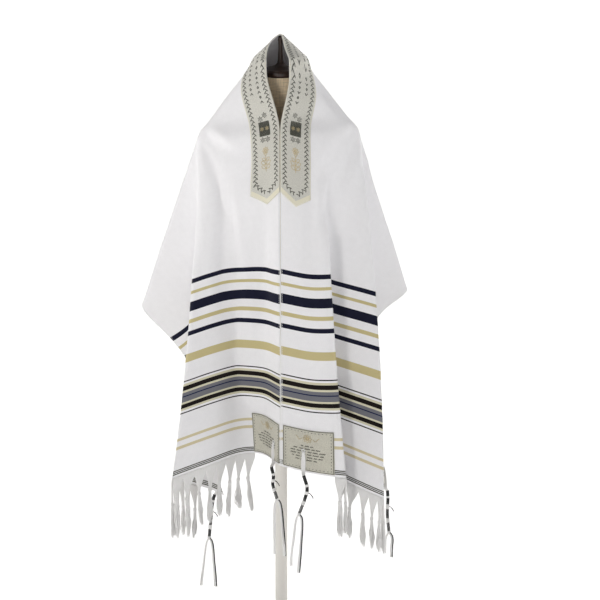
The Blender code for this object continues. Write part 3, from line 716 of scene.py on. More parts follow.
def shell(name, places, s, t, wall, material):
    """A closed sheet of cloth between an outer face on a grid of places and an inner face."""
    rows, columns = places.shape[:2]
    normal = outward(places, 1.0, 1.0)
    points = np.concatenate([places.reshape(-1, 3), (places - normal * wall).reshape(-1, 3)])
    index = np.arange(rows * columns).reshape(rows, columns)
    corners = [index[:-1, :-1], index[1:, :-1], index[1:, 1:], index[:-1, 1:]]
    quads = np.stack(corners, -1).reshape(-1, 4)
    below = quads[:, ::-1] + rows * columns
    rim = np.concatenate([index[0, :], index[1:, -1], index[-1, -2::-1], index[-2:0:-1, 0]])
    after = np.roll(rim, -1)
    sides = np.stack([rim, after, after + rows * columns, rim + rows * columns], -1)
    faces = np.concatenate([quads, below, sides]).tolist()
    flat = np.stack([s.ravel(), t.ravel(), np.zeros(s.size)], -1)
    return add_mesh(name, points, faces, material, woven=np.concatenate([flat, flat]))


def tubes(name, paths, radii, material, sides=5, squash=1.0, along=None):
    """Round yarns along paths of points. radii holds one radius, or one for each point of each path."""
    points, faces, woven = [], [], []
    first = 0
    for number, path in enumerate(paths):
        path = np.asarray(path, float)
        radius = np.broadcast_to(radii[number] if np.ndim(radii) else radii, len(path))
        run = unit(np.gradient(path, axis=0))
        up = np.array((0.0, 1.0, 0.0)) if along is None else np.asarray(along[number], float)
        one = unit(np.cross(run, up))
        two = np.cross(run, one)
        for k, (centre, a, b, r) in enumerate(zip(path, one, two, radius)):
            for n in range(sides):
                turn = 2 * math.pi * n / sides
                points.append(centre + a * r * math.cos(turn) + b * r * squash * math.sin(turn))
                woven.append((k / len(path), n / sides, number))
        for k in range(len(path) - 1):
            for n in range(sides):
                a, b = first + k * sides + n, first + k * sides + (n + 1) % sides
                faces.append((a, b, b + sides, a + sides))
        faces.append(tuple(first + n for n in range(sides))[::-1])
        faces.append(tuple(first + (len(path) - 1) * sides + n for n in range(sides)))
        first += len(path) * sides
    return add_mesh(name, points, faces, material, woven=woven)


def resampled(path, step):
    """A path through the same corners with points no further apart than the step."""
    path = np.asarray(path, float)
    result = [path[0]]
    for a, b in zip(path, path[1:]):
        count = max(1, math.ceil(np.linalg.norm(b - a) / step))
        result += [a + (b - a) * k / count for k in range(1, count + 1)]
    return np.array(result)


def lengths_along(line):
    """How far along a line each of its points lies."""
    return np.concatenate([[0], np.cumsum(np.linalg.norm(np.diff(line, axis=0), axis=1))])


def points_at(line, where, at):
    """Points of a line at the values at, when its own points lie at the values where."""
    return np.stack([np.interp(at, where, column) for column in np.transpose(line)], -1)


def beside(line):
    """The direction on the flat cloth that lies square to a line of (s, t), at each point."""
    run = unit(np.gradient(line, axis=0))
    return np.stack([-run[:, 1], run[:, 0]], -1)


def strokes(name, lines, width, lift, material):
    """Flat threads laid on the cloth along lines of (s, t): each is a low closed ridge."""
    step, sunk = 0.0025, -0.0002
    points, faces, woven = [], [], []
    first = 0
    for line in lines:
        line = resampled(line, step)
        aside = beside(line) * width / 2
        for offset, rise in ((aside, 0), (0 * aside, THREAD_HEIGHT), (-aside, 0), (0 * aside, sunk)):
            at = line + offset
            points.append(on_cloth(at[:, 0], at[:, 1], lift + rise))
            woven.append(np.concatenate([at, np.zeros((len(at), 1))], axis=1))
        count = len(line)
        for side in range(4):
            a, b = first + side * count, first + (side + 1) % 4 * count
            faces += [(a + k, a + k + 1, b + k + 1, b + k) for k in range(count - 1)]
        faces.append(tuple(first + side * count for side in range(4)))
        faces.append(tuple(first + side * count + count - 1 for side in (3, 2, 1, 0)))
        first += 4 * count
    return add_mesh(name, np.concatenate(points), faces, material, woven=np.concatenate(woven))


def stitches(line, stitch, gap):
    """A line of (s, t) as separate stitches."""
    line = resampled(line, 0.001)
    reach = lengths_along(line)
    starts = np.arange(0, reach[-1] - stitch, stitch + gap)
    return [points_at(line, reach, (start, start + stitch)) for start in starts]


def lofted(name, rings, material):
    """A closed skin over rings of points."""
    count = len(rings[0])
    points = np.concatenate(rings)
    faces = []
    for k in range(len(rings) - 1):
        for n in range(count):
            a, b = k * count + n, k * count + (n + 1) % count
            faces.append((a, b, b + count, a + count))
    faces.append(tuple(range(count))[::-1])
    faces.append(tuple(range(len(points) - count, len(points))))
    return add_mesh(name, points, faces, material)


def turned(name, profile, material, steps=96):
    """A turned piece, from a profile of radius and height that starts and ends on the axis."""
    least = 0.00002
    turns = 2 * math.pi * np.arange(steps) / steps
    circle_x, circle_y = np.cos(turns), np.sin(turns)
    rings = [np.stack([max(r, least) * circle_x, max(r, least) * circle_y, np.full(steps, z)], -1)
             for r, z in profile]
    piece = lofted(name, rings[::-1], material)
    piece.data.set_sharp_from_angle(angle=math.radians(42))
    return piece


def in_place(piece, slot, *nodes):
    """Rides the piece on the body and hides the solids that it stands for. slot is not used."""
    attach(piece, "root")
    if nodes:
        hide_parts(*nodes)
    return piece


# Materials

def node(tree, kind, inputs=None, **settings):
    """Adds a node with its settings. An input takes a value, or the socket that it is linked to."""
    new = tree.nodes.new(kind)
    for name, value in settings.items():
        setattr(new, name, value)
    for name, value in (inputs or {}).items():
        if isinstance(value, bpy.types.NodeSocket):
            tree.links.new(value, new.inputs[name])
        else:
            new.inputs[name].default_value = value
    return new


def new_material(name, base, roughness, metallic=0.0, ior=1.5, **uniform):
    """A Principled material. uniform names more of the shader's own values."""
    material = bpy.data.materials.new(name)
    material.use_nodes = True
    shader = material.node_tree.nodes["Principled BSDF"]
    values = {"Base Color": (*base, 1.0), "Roughness": roughness, "Metallic": metallic, "IOR": ior}
    for socket, value in {**values, **uniform}.items():
        shader.inputs[socket].default_value = value
    material.diffuse_color = (*base, 1.0)
    return material, material.node_tree, shader


def maths(tree, operation, *values):
    """Result of a math node on values or sockets."""
    return node(tree, "ShaderNodeMath", dict(enumerate(values)), operation=operation).outputs[0]


def stretched(tree, vector, stretch):
    """A vector with each of its parts multiplied."""
    return node(tree, "ShaderNodeVectorMath", {0: vector, 1: stretch}, operation="MULTIPLY").outputs[0]


def noise(tree, scale, detail, **more):
    """Cloudy noise about 0.5. more names other sockets of the node."""
    return node(tree, "ShaderNodeTexNoise", {"Scale": scale, "Detail": detail, **more}).outputs["Fac"]


def ranged(tree, value, low, high, to_low=0.0, to_high=1.0):
    """A value between low and high, moved to another range."""
    return node(tree, "ShaderNodeMapRange", {"Value": value, "From Min": low, "From Max": high,
                                             "To Min": to_low, "To Max": to_high}).outputs[0]


def parts_of(tree, vector):
    """Sockets of a vector's three parts."""
    return tuple(node(tree, "ShaderNodeSeparateXYZ", {0: vector}).outputs)


def shade(base, share):
    """A colour made darker or lighter."""
    return [min(1, c * share) for c in base]


def woven_place(tree):
    """Sockets of a cloth point's place, s and t in millimetres."""
    place = node(tree, "ShaderNodeAttribute", attribute_name="woven_place").outputs["Vector"]
    place = stretched(tree, place, (1000, 1000, 1000))
    s, t, _ = parts_of(tree, place)
    return place, s, t


def plain_weave(tree, along, across, spacing):
    """Height of a plain weave: warp and weft go over each other, one thread per spacing (mm)."""
    def wave(socket, shift):
        return maths(tree, "SINE", maths(tree, "MULTIPLY_ADD", socket, math.pi / spacing, shift))

    over = maths(tree, "MULTIPLY", wave(along, 0.0), wave(across, 0.0))
    threads = [maths(tree, "ABSOLUTE", wave(socket, math.pi / 2)) for socket in (along, across)]
    return maths(tree, "MULTIPLY_ADD", over, 0.7, maths(tree, "ADD", *threads))


def mixed_colour(tree, factor, one, two):
    """Colour one where factor is 0 and colour two where it is 1."""
    colour_one, colour_two, colour_out = 6, 7, 2
    mix = node(tree, "ShaderNodeMix", {0: factor}, data_type="RGBA")
    for number, value in ((colour_one, one), (colour_two, two)):
        if isinstance(value, bpy.types.NodeSocket):
            tree.links.new(value, mix.inputs[number])
        else:
            mix.inputs[number].default_value = (*value, 1.0)
    return mix.outputs[colour_out]


def surfaced(tree, shader, tone, height=None, distance=0.0, strength=1.0):
    """Gives a shader its colour and, where a height is given, its relief of that distance in metres."""
    tree.links.new(tone, shader.inputs["Base Color"])
    if height is not None:
        relief = {"Height": height, "Distance": distance, "Strength": strength}
        bump = node(tree, "ShaderNodeBump", relief)
        tree.links.new(bump.outputs[0], shader.inputs["Normal"])


def white_cloth():
    """Plain-woven bleached cloth with coloured weft stripes. Matt, with a soft sheen of loose fibre.

    Its threads lie 0.4 mm apart. They are drawn 1.3 mm apart, because finer ones don't show. Spun
    fibres break up the mirror light, so its index is low and the dark stripes stay dark.
    """
    white = colours().cloth
    material, tree, shader = new_material("bleached plain-woven cloth", white, 0.86, ior=1.25,
                                          **{"Sheen Weight": 0.08, "Sheen Roughness": 0.5})
    place, s, t = woven_place(tree)
    up = maths(tree, "SUBTRACT", HALF_LENGTH * 1000, maths(tree, "ABSOLUTE", s))
    tone = mixed_colour(tree, noise(tree, 0.09, 3.0, Vector=place), shade(white, 0.93), white)
    for low, high, name in STRIPES:
        stripe = maths(tree, "COMPARE", up, (low + high) / 2, (high - low) / 2)
        tone = mixed_colour(tree, stripe, tone, linear(YARNS[name]))
    streak = ranged(tree, noise(tree, 0.9, 2.0, Vector=place), 0.3, 0.7, 0.93, 1.03)
    tone = node(tree, "ShaderNodeVectorMath", {0: tone, "Scale": streak}, operation="SCALE").outputs[0]
    surfaced(tree, shader, tone, plain_weave(tree, s, t, CLOTH_THREADS), 0.00016, 0.55)
    return material


def jacquard(name, ground, edge=None):
    """Jacquard ribbon with a silver thread: fine ribs across, a faint glint and cream selvedges.

    Its ribs are 0.8 mm apart, drawn 1.6 mm apart to show. The patches have no cream edge.
    """
    material, tree, shader = new_material(name, ground, 0.5, 0.12, **{"Sheen Weight": 0.1})
    place, s, t = woven_place(tree)
    rib = maths(tree, "SINE", maths(tree, "MULTIPLY", s, 2 * math.pi / RIBBON_RIBS))
    speck = noise(tree, 0.55, 4.0, Vector=place, Roughness=0.75)
    tone = mixed_colour(tree, ranged(tree, speck, 0.35, 0.65), shade(ground, 0.80), shade(ground, 1.14))
    if edge is not None:
        middle = BAND_WIDTH / 2 * 1000
        off = maths(tree, "ABSOLUTE", maths(tree, "SUBTRACT", t, middle))
        selvedge = maths(tree, "GREATER_THAN", off, middle - SELVEDGE)
        slant = (BAND_TIP - BAND_CORNER) / (BAND_WIDTH / 2)
        reach = maths(tree, "MULTIPLY_ADD", off, slant, maths(tree, "ABSOLUTE", s))
        point = maths(tree, "GREATER_THAN", reach, BAND_TIP * 1000 - CREAM_POINT)
        tone = mixed_colour(tree, maths(tree, "MAXIMUM", selvedge, point), tone, edge)
    surfaced(tree, shader, tone, maths(tree, "ADD", rib, speck), 0.00018, 0.7)
    return material


def yarn(name, base, roughness=0.85, metallic=0.0, turns=90.0):
    """Twisted yarn: a slanting rib runs round it, and its loose fibres catch the light."""
    material, tree, shader = new_material(name, base, roughness, metallic, **{"Sheen Weight": 0.25})
    place = node(tree, "ShaderNodeAttribute", attribute_name="woven_place").outputs["Vector"]
    along, round_it, _ = parts_of(tree, place)
    twist = maths(tree, "MULTIPLY_ADD", along, turns, round_it)
    rib = maths(tree, "SINE", maths(tree, "MULTIPLY", twist, 2 * math.pi))
    tone = mixed_colour(tree, noise(tree, 900.0, 2.0), shade(base, 0.82), shade(base, 1.06))
    surfaced(tree, shader, tone, rib, 0.00012, 0.5)
    return material


def linen_cover():
    """Natural linen over padding: matt, with slubs of thicker and darker thread both ways.

    Linen thread is 0.6 mm apart, drawn 1.4 mm apart to show.
    """
    base = colours().linen
    mean_radius = 110.0
    material, tree, shader = new_material("natural linen", base, 0.9, **{"Sheen Weight": 0.15})
    place = node(tree, "ShaderNodeTexCoord").outputs["Object"]
    x, y, z = parts_of(tree, place)
    girth = maths(tree, "MULTIPLY", maths(tree, "ARCTAN2", y, x), mean_radius)
    rise = maths(tree, "MULTIPLY", z, 1000.0)
    slubs = [noise(tree, 1.0, 2.0, Vector=stretched(tree, place, stretch))
             for stretch in ((900, 900, 60), (60, 60, 900))]
    share = ranged(tree, maths(tree, "ADD", *slubs), 0.7, 1.3)
    tone = mixed_colour(tree, share, shade(base, 0.72), shade(base, 1.12))
    surfaced(tree, shader, tone, plain_weave(tree, girth, rise, LINEN_THREADS), 0.0003, 0.6)
    return material


def stained_beech():
    """Turned beech under dark satin stain: fine grain runs up it, with a soft gloss."""
    base = colours().wood
    material, tree, shader = new_material("dark stained beech", base, 0.38,
                                          **{"Coat Weight": 0.25, "Coat Roughness": 0.2})
    place = node(tree, "ShaderNodeTexCoord").outputs["Object"]
    grain = noise(tree, 1.0, 5.0, Vector=stretched(tree, place, (420, 420, 24)))
    tone = mixed_colour(tree, ranged(tree, grain, 0.35, 0.65), shade(base, 0.55), shade(base, 1.7))
    surfaced(tree, shader, tone, grain, 0.0002, 0.4)
    return material


def powder_coat():
    """Baked powder coat on steel: an even satin skin with a fine orange peel of about 1 mm."""
    base = colours().steel
    material, tree, shader = new_material("powder-coated steel", base, 0.42)
    wear = noise(tree, 14.0, 4.0)
    tree.links.new(ranged(tree, wear, 0.0, 1.0, 0.36, 0.5), shader.inputs["Roughness"])
    tone = mixed_colour(tree, wear, shade(base, 0.95), base)
    surfaced(tree, shader, tone, noise(tree, 1000.0, 2.0), 0.0001, 0.35)
    return material


def backlit_acrylic():
    """White acrylic floor and sweep, lit from behind as for a cut-out picture, with a matt face."""
    base = colours().floor
    glow = {"Emission Color": (1.0, 1.0, 1.0, 1.0), "Emission Strength": 0.50}
    material, tree, shader = new_material("back-lit white acrylic", base, 0.8, **glow)
    surfaced(tree, shader, mixed_colour(tree, noise(tree, 1.2, 2.0), shade(base, 0.985), base))
    return material


@functools.lru_cache(maxsize=None)
def finish(name):
    """Each finish is made once."""
    made = {
        "cloth": white_cloth,
        "hem": lambda: yarn("white overlock thread", colours().hem, turns=400.0),
        "ribbon": lambda: jacquard("silver-grey jacquard ribbon", colours().ribbon,
                                   colours().ribbon_edge),
        "patch": lambda: jacquard("silvery jacquard patch", colours().patch),
        "ornament": lambda: yarn("dark grey-green viscose thread", colours().ornament, 0.6),
        "emblem": lambda: yarn("gold lurex thread", colours().emblem, 0.45, 0.15),
        "white yarn": lambda: yarn("twisted white viscose yarn", colours().white_yarn),
        "black yarn": lambda: yarn("black polyester thread", colours().black_yarn, 0.6),
        "linen": linen_cover,
        "beech": stained_beech,
        "powder coat": powder_coat,
        "acrylic": backlit_acrylic,
    }
    return made[name]()


# Ornament, in places on the flat cloth

def zigzag(line, pitch, reach):
    """A zigzag thread along a line of (s, t)."""
    line = resampled(line, 0.001)
    distance = lengths_along(line)
    place = points_at(line, distance, np.arange(0, distance[-1], pitch / 2))
    side = np.where(np.arange(len(place)) % 2, 1.0, -1.0)[:, None]
    return place + beside(place) * side * reach


def leaves(line, pitch, reach, size):
    """Small leaves at the corners of a zigzag, each one a short thread that leans along it."""
    corners = zigzag(line, pitch, reach)
    result = []
    for before, corner, after in zip(corners, corners[1:], corners[2:]):
        out = unit(corner - (before + after) / 2)
        run = unit(after - before)
        result.append((corner, corner + out * size * 0.5 + run * size))
    return result


def circle(s, t, radius, steps):
    """A closed ring of short threads."""
    turns = np.linspace(0, 2 * math.pi, steps + 1)
    return np.stack([s + radius * np.cos(turns), t + radius * np.sin(turns)], -1)


def star(s, t, radius):
    """Outline of a star with its six points on a circle."""
    corners = 13
    turns = np.linspace(0, 2 * math.pi, corners)
    size = np.where(np.arange(corners) % 2, radius * 0.5, radius)
    return np.stack([s + size * np.cos(turns), t + size * np.sin(turns)], -1)


def petals(s, t, radius, count):
    """Petals of a rosette, each one a loop from its middle."""
    loop = ((0.15, 0), (0.6, 0.24), (1.0, 0), (0.6, -0.24), (0.15, 0))
    result = []
    for n in range(count):
        turn = 2 * math.pi * n / count
        out = radius * np.array((math.cos(turn), math.sin(turn)))
        aside = np.array((-out[1], out[0]))
        result.append(np.array([(s, t) + out * f + aside * g for f, g in loop]))
    return result


def sprig(s, t, reach, sign):
    """A leafy sprig that grows from s towards the middle of the shawl: stem, paired leaves and a bud."""
    lines = [np.array(((s, t), (s - sign * reach, t)))]
    for share, size in ((0.15, 0.30), (0.40, 0.34), (0.65, 0.26)):
        root = s - sign * reach * share
        for side in (-1, 1):
            tip = np.array((root - sign * reach * size * 0.7, t + side * reach * size))
            belly = np.array((root - sign * reach * size * 0.15, t + side * reach * size * 0.75))
            inner = np.array((root - sign * reach * size * 0.75, t + side * reach * size * 0.4))
            lines += [np.array(((root, t), belly, tip, inner, (root, t)))]
    lines.append(circle(s - sign * reach * 1.08, t, reach * 0.09, 8))
    return lines


def lozenge(s, t, size):
    """Outline of a lozenge, longer along s than across."""
    return np.array(((s - size, t), (s, t + size * 0.7), (s + size, t), (s, t - size * 0.7),
                     (s - size, t)))


def band_ornament(sign):
    """Threads of the neckband on one side: dark ones, fine dark ones, the panel's and gold ones."""
    corner, point = BAND_CORNER - BORDER_SHORT, BAND_TIP - BORDER_SHORT
    middle = BAND_WIDTH / 2
    dark, fine, panel, gold = [], [], [], []
    for t in (BORDER_IN, BAND_WIDTH - BORDER_IN):
        line = ((0.0, t), (sign * corner, t), (sign * point, middle))
        dark.append(zigzag(line, BORDER_PITCH, BORDER_REACH))
        dark += leaves(line, BORDER_PITCH, BORDER_REACH, BORDER_LEAF)
    for k in range(MARKS):
        s = sign * (FIRST_MARK + MARK_PITCH * k)
        for t in (middle - MARK_OFF, middle + MARK_OFF)[:1 if k >= ONE_ROW_FROM else 2]:
            if k % 2:
                dark.append(lozenge(s, t, 0.0026))
            else:
                chevron = ((s - 0.0024, t - 0.003), (s + 0.0024, t), (s - 0.0024, t + 0.003))
                dark.append(np.array(chevron))
    for s, off in STARS:
        fine.append(star(sign * s, middle + off, 0.0058))
        fine.append(circle(sign * s, middle + off, 0.0018, 6))
    low, high, half = PANEL_LOW, PANEL_HIGH, PANEL_HALF
    outline = ((low, -half), (high, -half), (high, half), (low, half), (low, -half))
    dark.append(np.array([(sign * s, middle + t) for s, t in outline]))
    for k in range(1, PANEL_THREADS):
        s = sign * (low + (high - low) * k / PANEL_THREADS)
        panel.append(np.array(((s, middle - half), (s, middle + half))))
    for off in (-PANEL_ROSETTE_OFF, PANEL_ROSETTE_OFF):
        gold += petals(sign * PANEL_ROSETTE, middle + off, 0.0044, 6)
    gold += sprig(sign * SPRIG, middle, 0.034, sign)
    gold += petals(sign * ROSETTE, middle, 0.0075, 8)
    return dark, fine, panel, gold


def patch_ornament(sign, low_t):
    """Threads of a corner patch: a double frame, a gold rosette between waves, and zigzag rows."""
    hem = HALF_LENGTH - PATCH_INSET
    top, high_t = hem - PATCH_LENGTH, low_t + PATCH_WIDTH
    dark, gold = [], []

    def framed(inset):
        corners = ((hem - inset, low_t + inset), (hem - inset, high_t - inset),
                   (top + inset, high_t - inset), (top + inset, low_t + inset))
        return np.array([(sign * s, t) for s, t in (*corners, corners[0])])

    dark.append(framed(0.0016))
    dark += stitches(framed(0.0056), 0.0022, 0.0046)
    middle = (low_t + high_t) / 2
    centre = top + PATCH_ROSETTE
    gold += petals(sign * centre, middle, 0.0095, 8)
    gold.append(circle(sign * centre, middle, 0.0022, 8))
    u = np.linspace(0, 1, 7)
    for side in (-1, 1):
        wave = [sign * (centre + 0.004 * np.sin(5 * u)), middle + side * (0.012 + 0.012 * u)]
        gold.append(np.stack(wave, -1))
    for row, half in enumerate(PATCH_ROWS):
        s = sign * (top + PATCH_FIRST_ROW + PATCH_ROW_PITCH * row)
        start, piece = -half, row
        while start < half - 0.004:
            reach = min(0.0060 + 0.0018 * (piece * 5 % 4), half - start)
            dark.append(zigzag(((s, middle + start), (s, middle + start + reach)), 0.0030, 0.0012))
            start += reach + 0.0026
            piece += 1
    return dark, gold


# Operators, one for each piece or group of like pieces

class TALLIT_OT_cloth(bpy.types.Operator):
    """Drape the striped cloth over the form"""
    bl_idname = "tallit.cloth"
    bl_label = "Cloth"

    def execute(self, context):
        along, across, places, _ = drape()
        s, t = np.meshgrid(along, across, indexing="ij")
        cloth = shell("cloth", places, s, t, sizes().cloth_wall, finish("cloth"))
        in_place(cloth, "white_cloth", "shawl_cloth")
        return {"FINISHED"}


class TALLIT_OT_hems(bpy.types.Operator):
    """Roll and sew the narrow hems along the two long edges"""
    bl_idname = "tallit.hems"
    bl_label = "Hems"

    def execute(self, context):
        width, wall = sizes().hem_width, sizes().cloth_wall
        s = np.linspace(-HALF_LENGTH, HALF_LENGTH, 460)
        paths = [on_cloth(s, t, -wall / 2) for t in (width / 3, WIDTH - width / 3)]
        normals = [on_cloth(s, t, 1.0) - on_cloth(s, t) for t in (0, WIDTH)]
        hems = tubes("rolled_hems", paths, width / 2, finish("hem"), sides=8, squash=0.55,
                     along=normals)
        in_place(hems, "white_cloth")
        lines = []
        for t in (HEM_STITCH_IN, WIDTH - HEM_STITCH_IN):
            lines += stitches(((-HALF_LENGTH, t), (HALF_LENGTH, t)), *HEM_STITCH)
        in_place(strokes("hem_stitches", lines, STITCH_WIDTH, 0.0001, finish("hem")), "white_cloth")
        return {"FINISHED"}


class TALLIT_OT_neckband(bpy.types.Operator):
    """Sew the jacquard neckband with its pointed ends on the front edge"""
    bl_idname = "tallit.neckband"
    bl_label = "Neckband"

    def execute(self, context):
        wall = sizes().ribbon_wall
        top = sizes().ribbon_lift + wall
        middle = BAND_WIDTH / 2
        share, t = np.meshgrid(np.linspace(-1, 1, 190), np.linspace(0, BAND_WIDTH, 21), indexing="ij")
        point = 1 - np.abs(t - middle) / middle
        s = share * (BAND_CORNER + (BAND_TIP - BAND_CORNER) * point)
        band = shell("neckband_ribbon", on_cloth(s, t, top), s, t, wall, finish("ribbon"))
        in_place(band, "woven_band", "neckband")
        both = zip(band_ornament(-1), band_ornament(1))
        dark, fine, panel, gold = (left + right for left, right in both)
        edge = []
        for t in (0.0012, BAND_WIDTH - 0.0012):
            edge += stitches(((-BAND_CORNER, t), (BAND_CORNER, t)), *BAND_STITCH)
        for sign in (-1, 1):
            corner, tip = sign * (BAND_CORNER - 0.001), sign * (BAND_TIP - 0.0016)
            point = ((corner, 0.001), (tip, middle), (corner, BAND_WIDTH - 0.001))
            edge += stitches(point, *BAND_STITCH)
        thread = sizes().ornament_thread
        for name, lines, width, material in (("vine", dark, thread, "ornament"),
                                             ("stars", fine, thread * 0.6, "ornament"),
                                             ("panels", panel, PANEL_THREAD, "ornament"),
                                             ("sprigs", gold, thread * 0.75, "emblem"),
                                             ("stitches", edge, STITCH_WIDTH, "hem")):
            in_place(strokes(f"neckband_{name}", lines, width, top, finish(material)), "woven_band")
        return {"FINISHED"}


class TALLIT_OT_corner_patches(bpy.types.Operator):
    """Sew a jacquard patch on each corner"""
    bl_idname = "tallit.corner_patches"
    bl_label = "Corner patches"

    def execute(self, context):
        wall = sizes().ribbon_wall
        top = sizes().ribbon_lift + wall
        far = HALF_LENGTH - PATCH_INSET
        thread = sizes().ornament_thread * 0.7
        for end, low_t in (("front", PATCH_INSET), ("rear", WIDTH - PATCH_INSET - PATCH_WIDTH)):
            for side, sign in (("left", -1), ("right", 1)):
                reach = np.sort([sign * (far - PATCH_LENGTH), sign * far])
                s, t = np.meshgrid(np.linspace(*reach, 36), np.linspace(low_t, low_t + PATCH_WIDTH, 38),
                                   indexing="ij")
                ripple = 0.0002 + 0.0004 * np.sin(s * 260 + t * 90) * np.sin(t * 210)
                patch = shell(f"corner_patch_{end}_{side}", on_cloth(s, t, top + ripple), s, t, wall,
                              finish("patch"))
                in_place(patch, "woven_band", f"patch_{end}_{side}")
                dark, gold = patch_ornament(sign, low_t)
                for name, lines, material in (("frame", dark, "ornament"), ("rosette", gold, "emblem")):
                    in_place(strokes(f"patch_{name}_{end}_{side}", lines, thread, top + 0.0005,
                                     finish(material)), "woven_band")
        return {"FINISHED"}


def hanging_thread(start, fall, knot, tip, bend, wave, rng):
    """A yarn from the hem through its knot to its loose tip."""
    jitter = rng.normal(0, 0.0010, 3)
    below = knot + jitter * 1.3 + np.array((0, 0, -0.011)) + (tip - knot) * (1, 1, 0) * 0.22
    middle = (below + tip) / 2 + bend
    stops = np.array((0.0, 0.15, 0.40, 0.50, 0.74, 1.0))
    points = np.array([start, start + fall * 0.010, knot + jitter, below, middle, tip])
    path = through(np.column_stack([stops, points]), np.linspace(0, 1, 17))
    share = np.linspace(0, 1, 17)[:, None]
    path += wave * np.sin(share * 15 + rng.uniform(0, 6)) * np.clip(share * 3 - 1.2, 0, 1) * 0.0011
    return path


def fringe_lock(n, side, stops, low, fall, rng):
    """One lock of the fringe: its yarns, their radii and the turns of thread that knot it."""
    end = -HALF_LENGTH if side == "left" else HALF_LENGTH
    first = 3 * n
    middle = (low[first] + low[first + 2]) / 2
    run = unit((low[first + 2] - low[first]) * (1, 1, 0))
    turn = np.array((run[1], -run[0], 0))
    sway = TASSEL_SWAY * math.sin(2.3 * n + (1 if side == "left" else 2))
    knot = middle - np.array((0, 0, KNOT_DROP * 1.05)) + run * sway * 1.05
    apart = LOCK_WIDTH * (0.8 + 0.25 * math.sin(1.7 * n))
    count = sizes().fringe_threads
    shorter, wide = rng.uniform(-0.004, 0.009), rng.uniform(0.0026, 0.0056)
    lean = run * rng.normal(0, 0.003)
    threads, radii = [], []
    for k in range(count):
        share = (k + 0.5 + rng.uniform(-0.3, 0.3)) / count
        at = stops[first] + (stops[first + 3] - stops[first]) * share
        inwards = -0.0004 - 0.0004 * rng.uniform()
        start = on_cloth(end - math.copysign(0.001, end), at, inwards)
        longer = 0 if share < 0.5 else LONGER_LOCK
        drop = TASSEL_DROP + longer - shorter - abs(rng.normal(0, RAGGED))
        tip = (middle - np.array((0, 0, drop)) + turn * rng.normal(0, 0.0016) + lean
               + run * (1.4 * sway + (share - 0.5) * 1.3 * apart + rng.normal(0, wide / 3)))
        bend = run * (share - 0.5) * 0.006 + turn * rng.normal(0, 0.0010)
        wave = run * rng.normal(0, 1)
        threads.append(hanging_thread(start, fall[first + 1], knot, tip, bend, wave, rng))
        size = sizes().fringe_thread * rng.uniform(0.85, 1.2)
        radii.append(size * np.concatenate([np.ones(15), (0.85, 0.45)]))
    turns = np.linspace(0, 2 * math.pi * 2.5, 26)
    rise = np.linspace(0.0026, -0.0026, 26)
    tied = (knot + np.outer(np.cos(turns), run) * 0.0032 + np.outer(np.sin(turns), turn) * 0.0027
            + np.outer(rise, (0, 0, 1)))
    return threads, radii, tied


class TALLIT_OT_fringe(bpy.types.Operator):
    """Knot the yarn fringe on both short ends"""
    bl_idname = "tallit.fringe"
    bl_label = "Fringe"

    def execute(self, context):
        beyond = 0.006
        for number, side in enumerate(("left", "right")):
            rng = np.random.default_rng(FRINGE_SEED + number)
            sign = -1 if side == "left" else 1
            stops = np.linspace(FRINGE_INSET, WIDTH - FRINGE_INSET, 3 * TASSELS + 1)[::sign]
            hem, low = (on_cloth(sign * (HALF_LENGTH + past), stops) for past in (0, beyond))
            fall = (low - hem) / beyond
            threads, radii, knots = [], [], []
            for n in range(TASSELS):
                yarns, thickness, tied = fringe_lock(n, side, stops, low, fall, rng)
                threads += yarns
                radii += thickness
                knots.append(tied)
            fringe = tubes(f"fringe_yarns_{side}", threads, radii, finish("white yarn"), sides=4)
            in_place(fringe, "white_yarn", f"fringe_{side}")
            tied = tubes(f"fringe_knots_{side}", knots, 0.0012, finish("white yarn"), sides=6)
            in_place(tied, "white_yarn")
        return {"FINISHED"}


def bundle(path, count, radius, rng):
    """Strings that run side by side along a path, at a radius from it."""
    result = []
    for n in range(count):
        turn = 2 * math.pi * n / count + rng.uniform(0, 0.6)
        off = np.array((math.cos(turn), 0.7 * math.sin(turn), 0)) * radius
        share = np.linspace(0, 1, len(path))[:, None]
        sway = np.sin(share * rng.uniform(5, 9) + rng.uniform(0, 6)) * rng.normal(0, 0.0009, 3)
        result.append(path + off * (0.8 + 0.5 * share) + sway * share * (1, 1, 0))
    return result


def wound(path, start, end, radius, pitch):
    """A thread wound round a stretch of a path."""
    reach = lengths_along(path)[-1] * (end - start)
    count = max(8, round(reach / pitch * 9))
    centre = points_at(path, np.linspace(0, 1, len(path)), np.linspace(start, end, count))
    turns = np.linspace(0, 2 * math.pi * reach / pitch, count)[:, None]
    run = unit(np.gradient(centre, axis=0))
    one = unit(np.cross(run, (0.0, 1.0, 0.0)))
    return centre + radius * (one * np.cos(turns) + np.cross(run, one) * np.sin(turns))


def smooth_line(stops, points, count):
    """A smooth line of that many points, through points that lie at the stops, from 0 to 1."""
    return through(np.column_stack([stops, points]), np.linspace(0, 1, count))


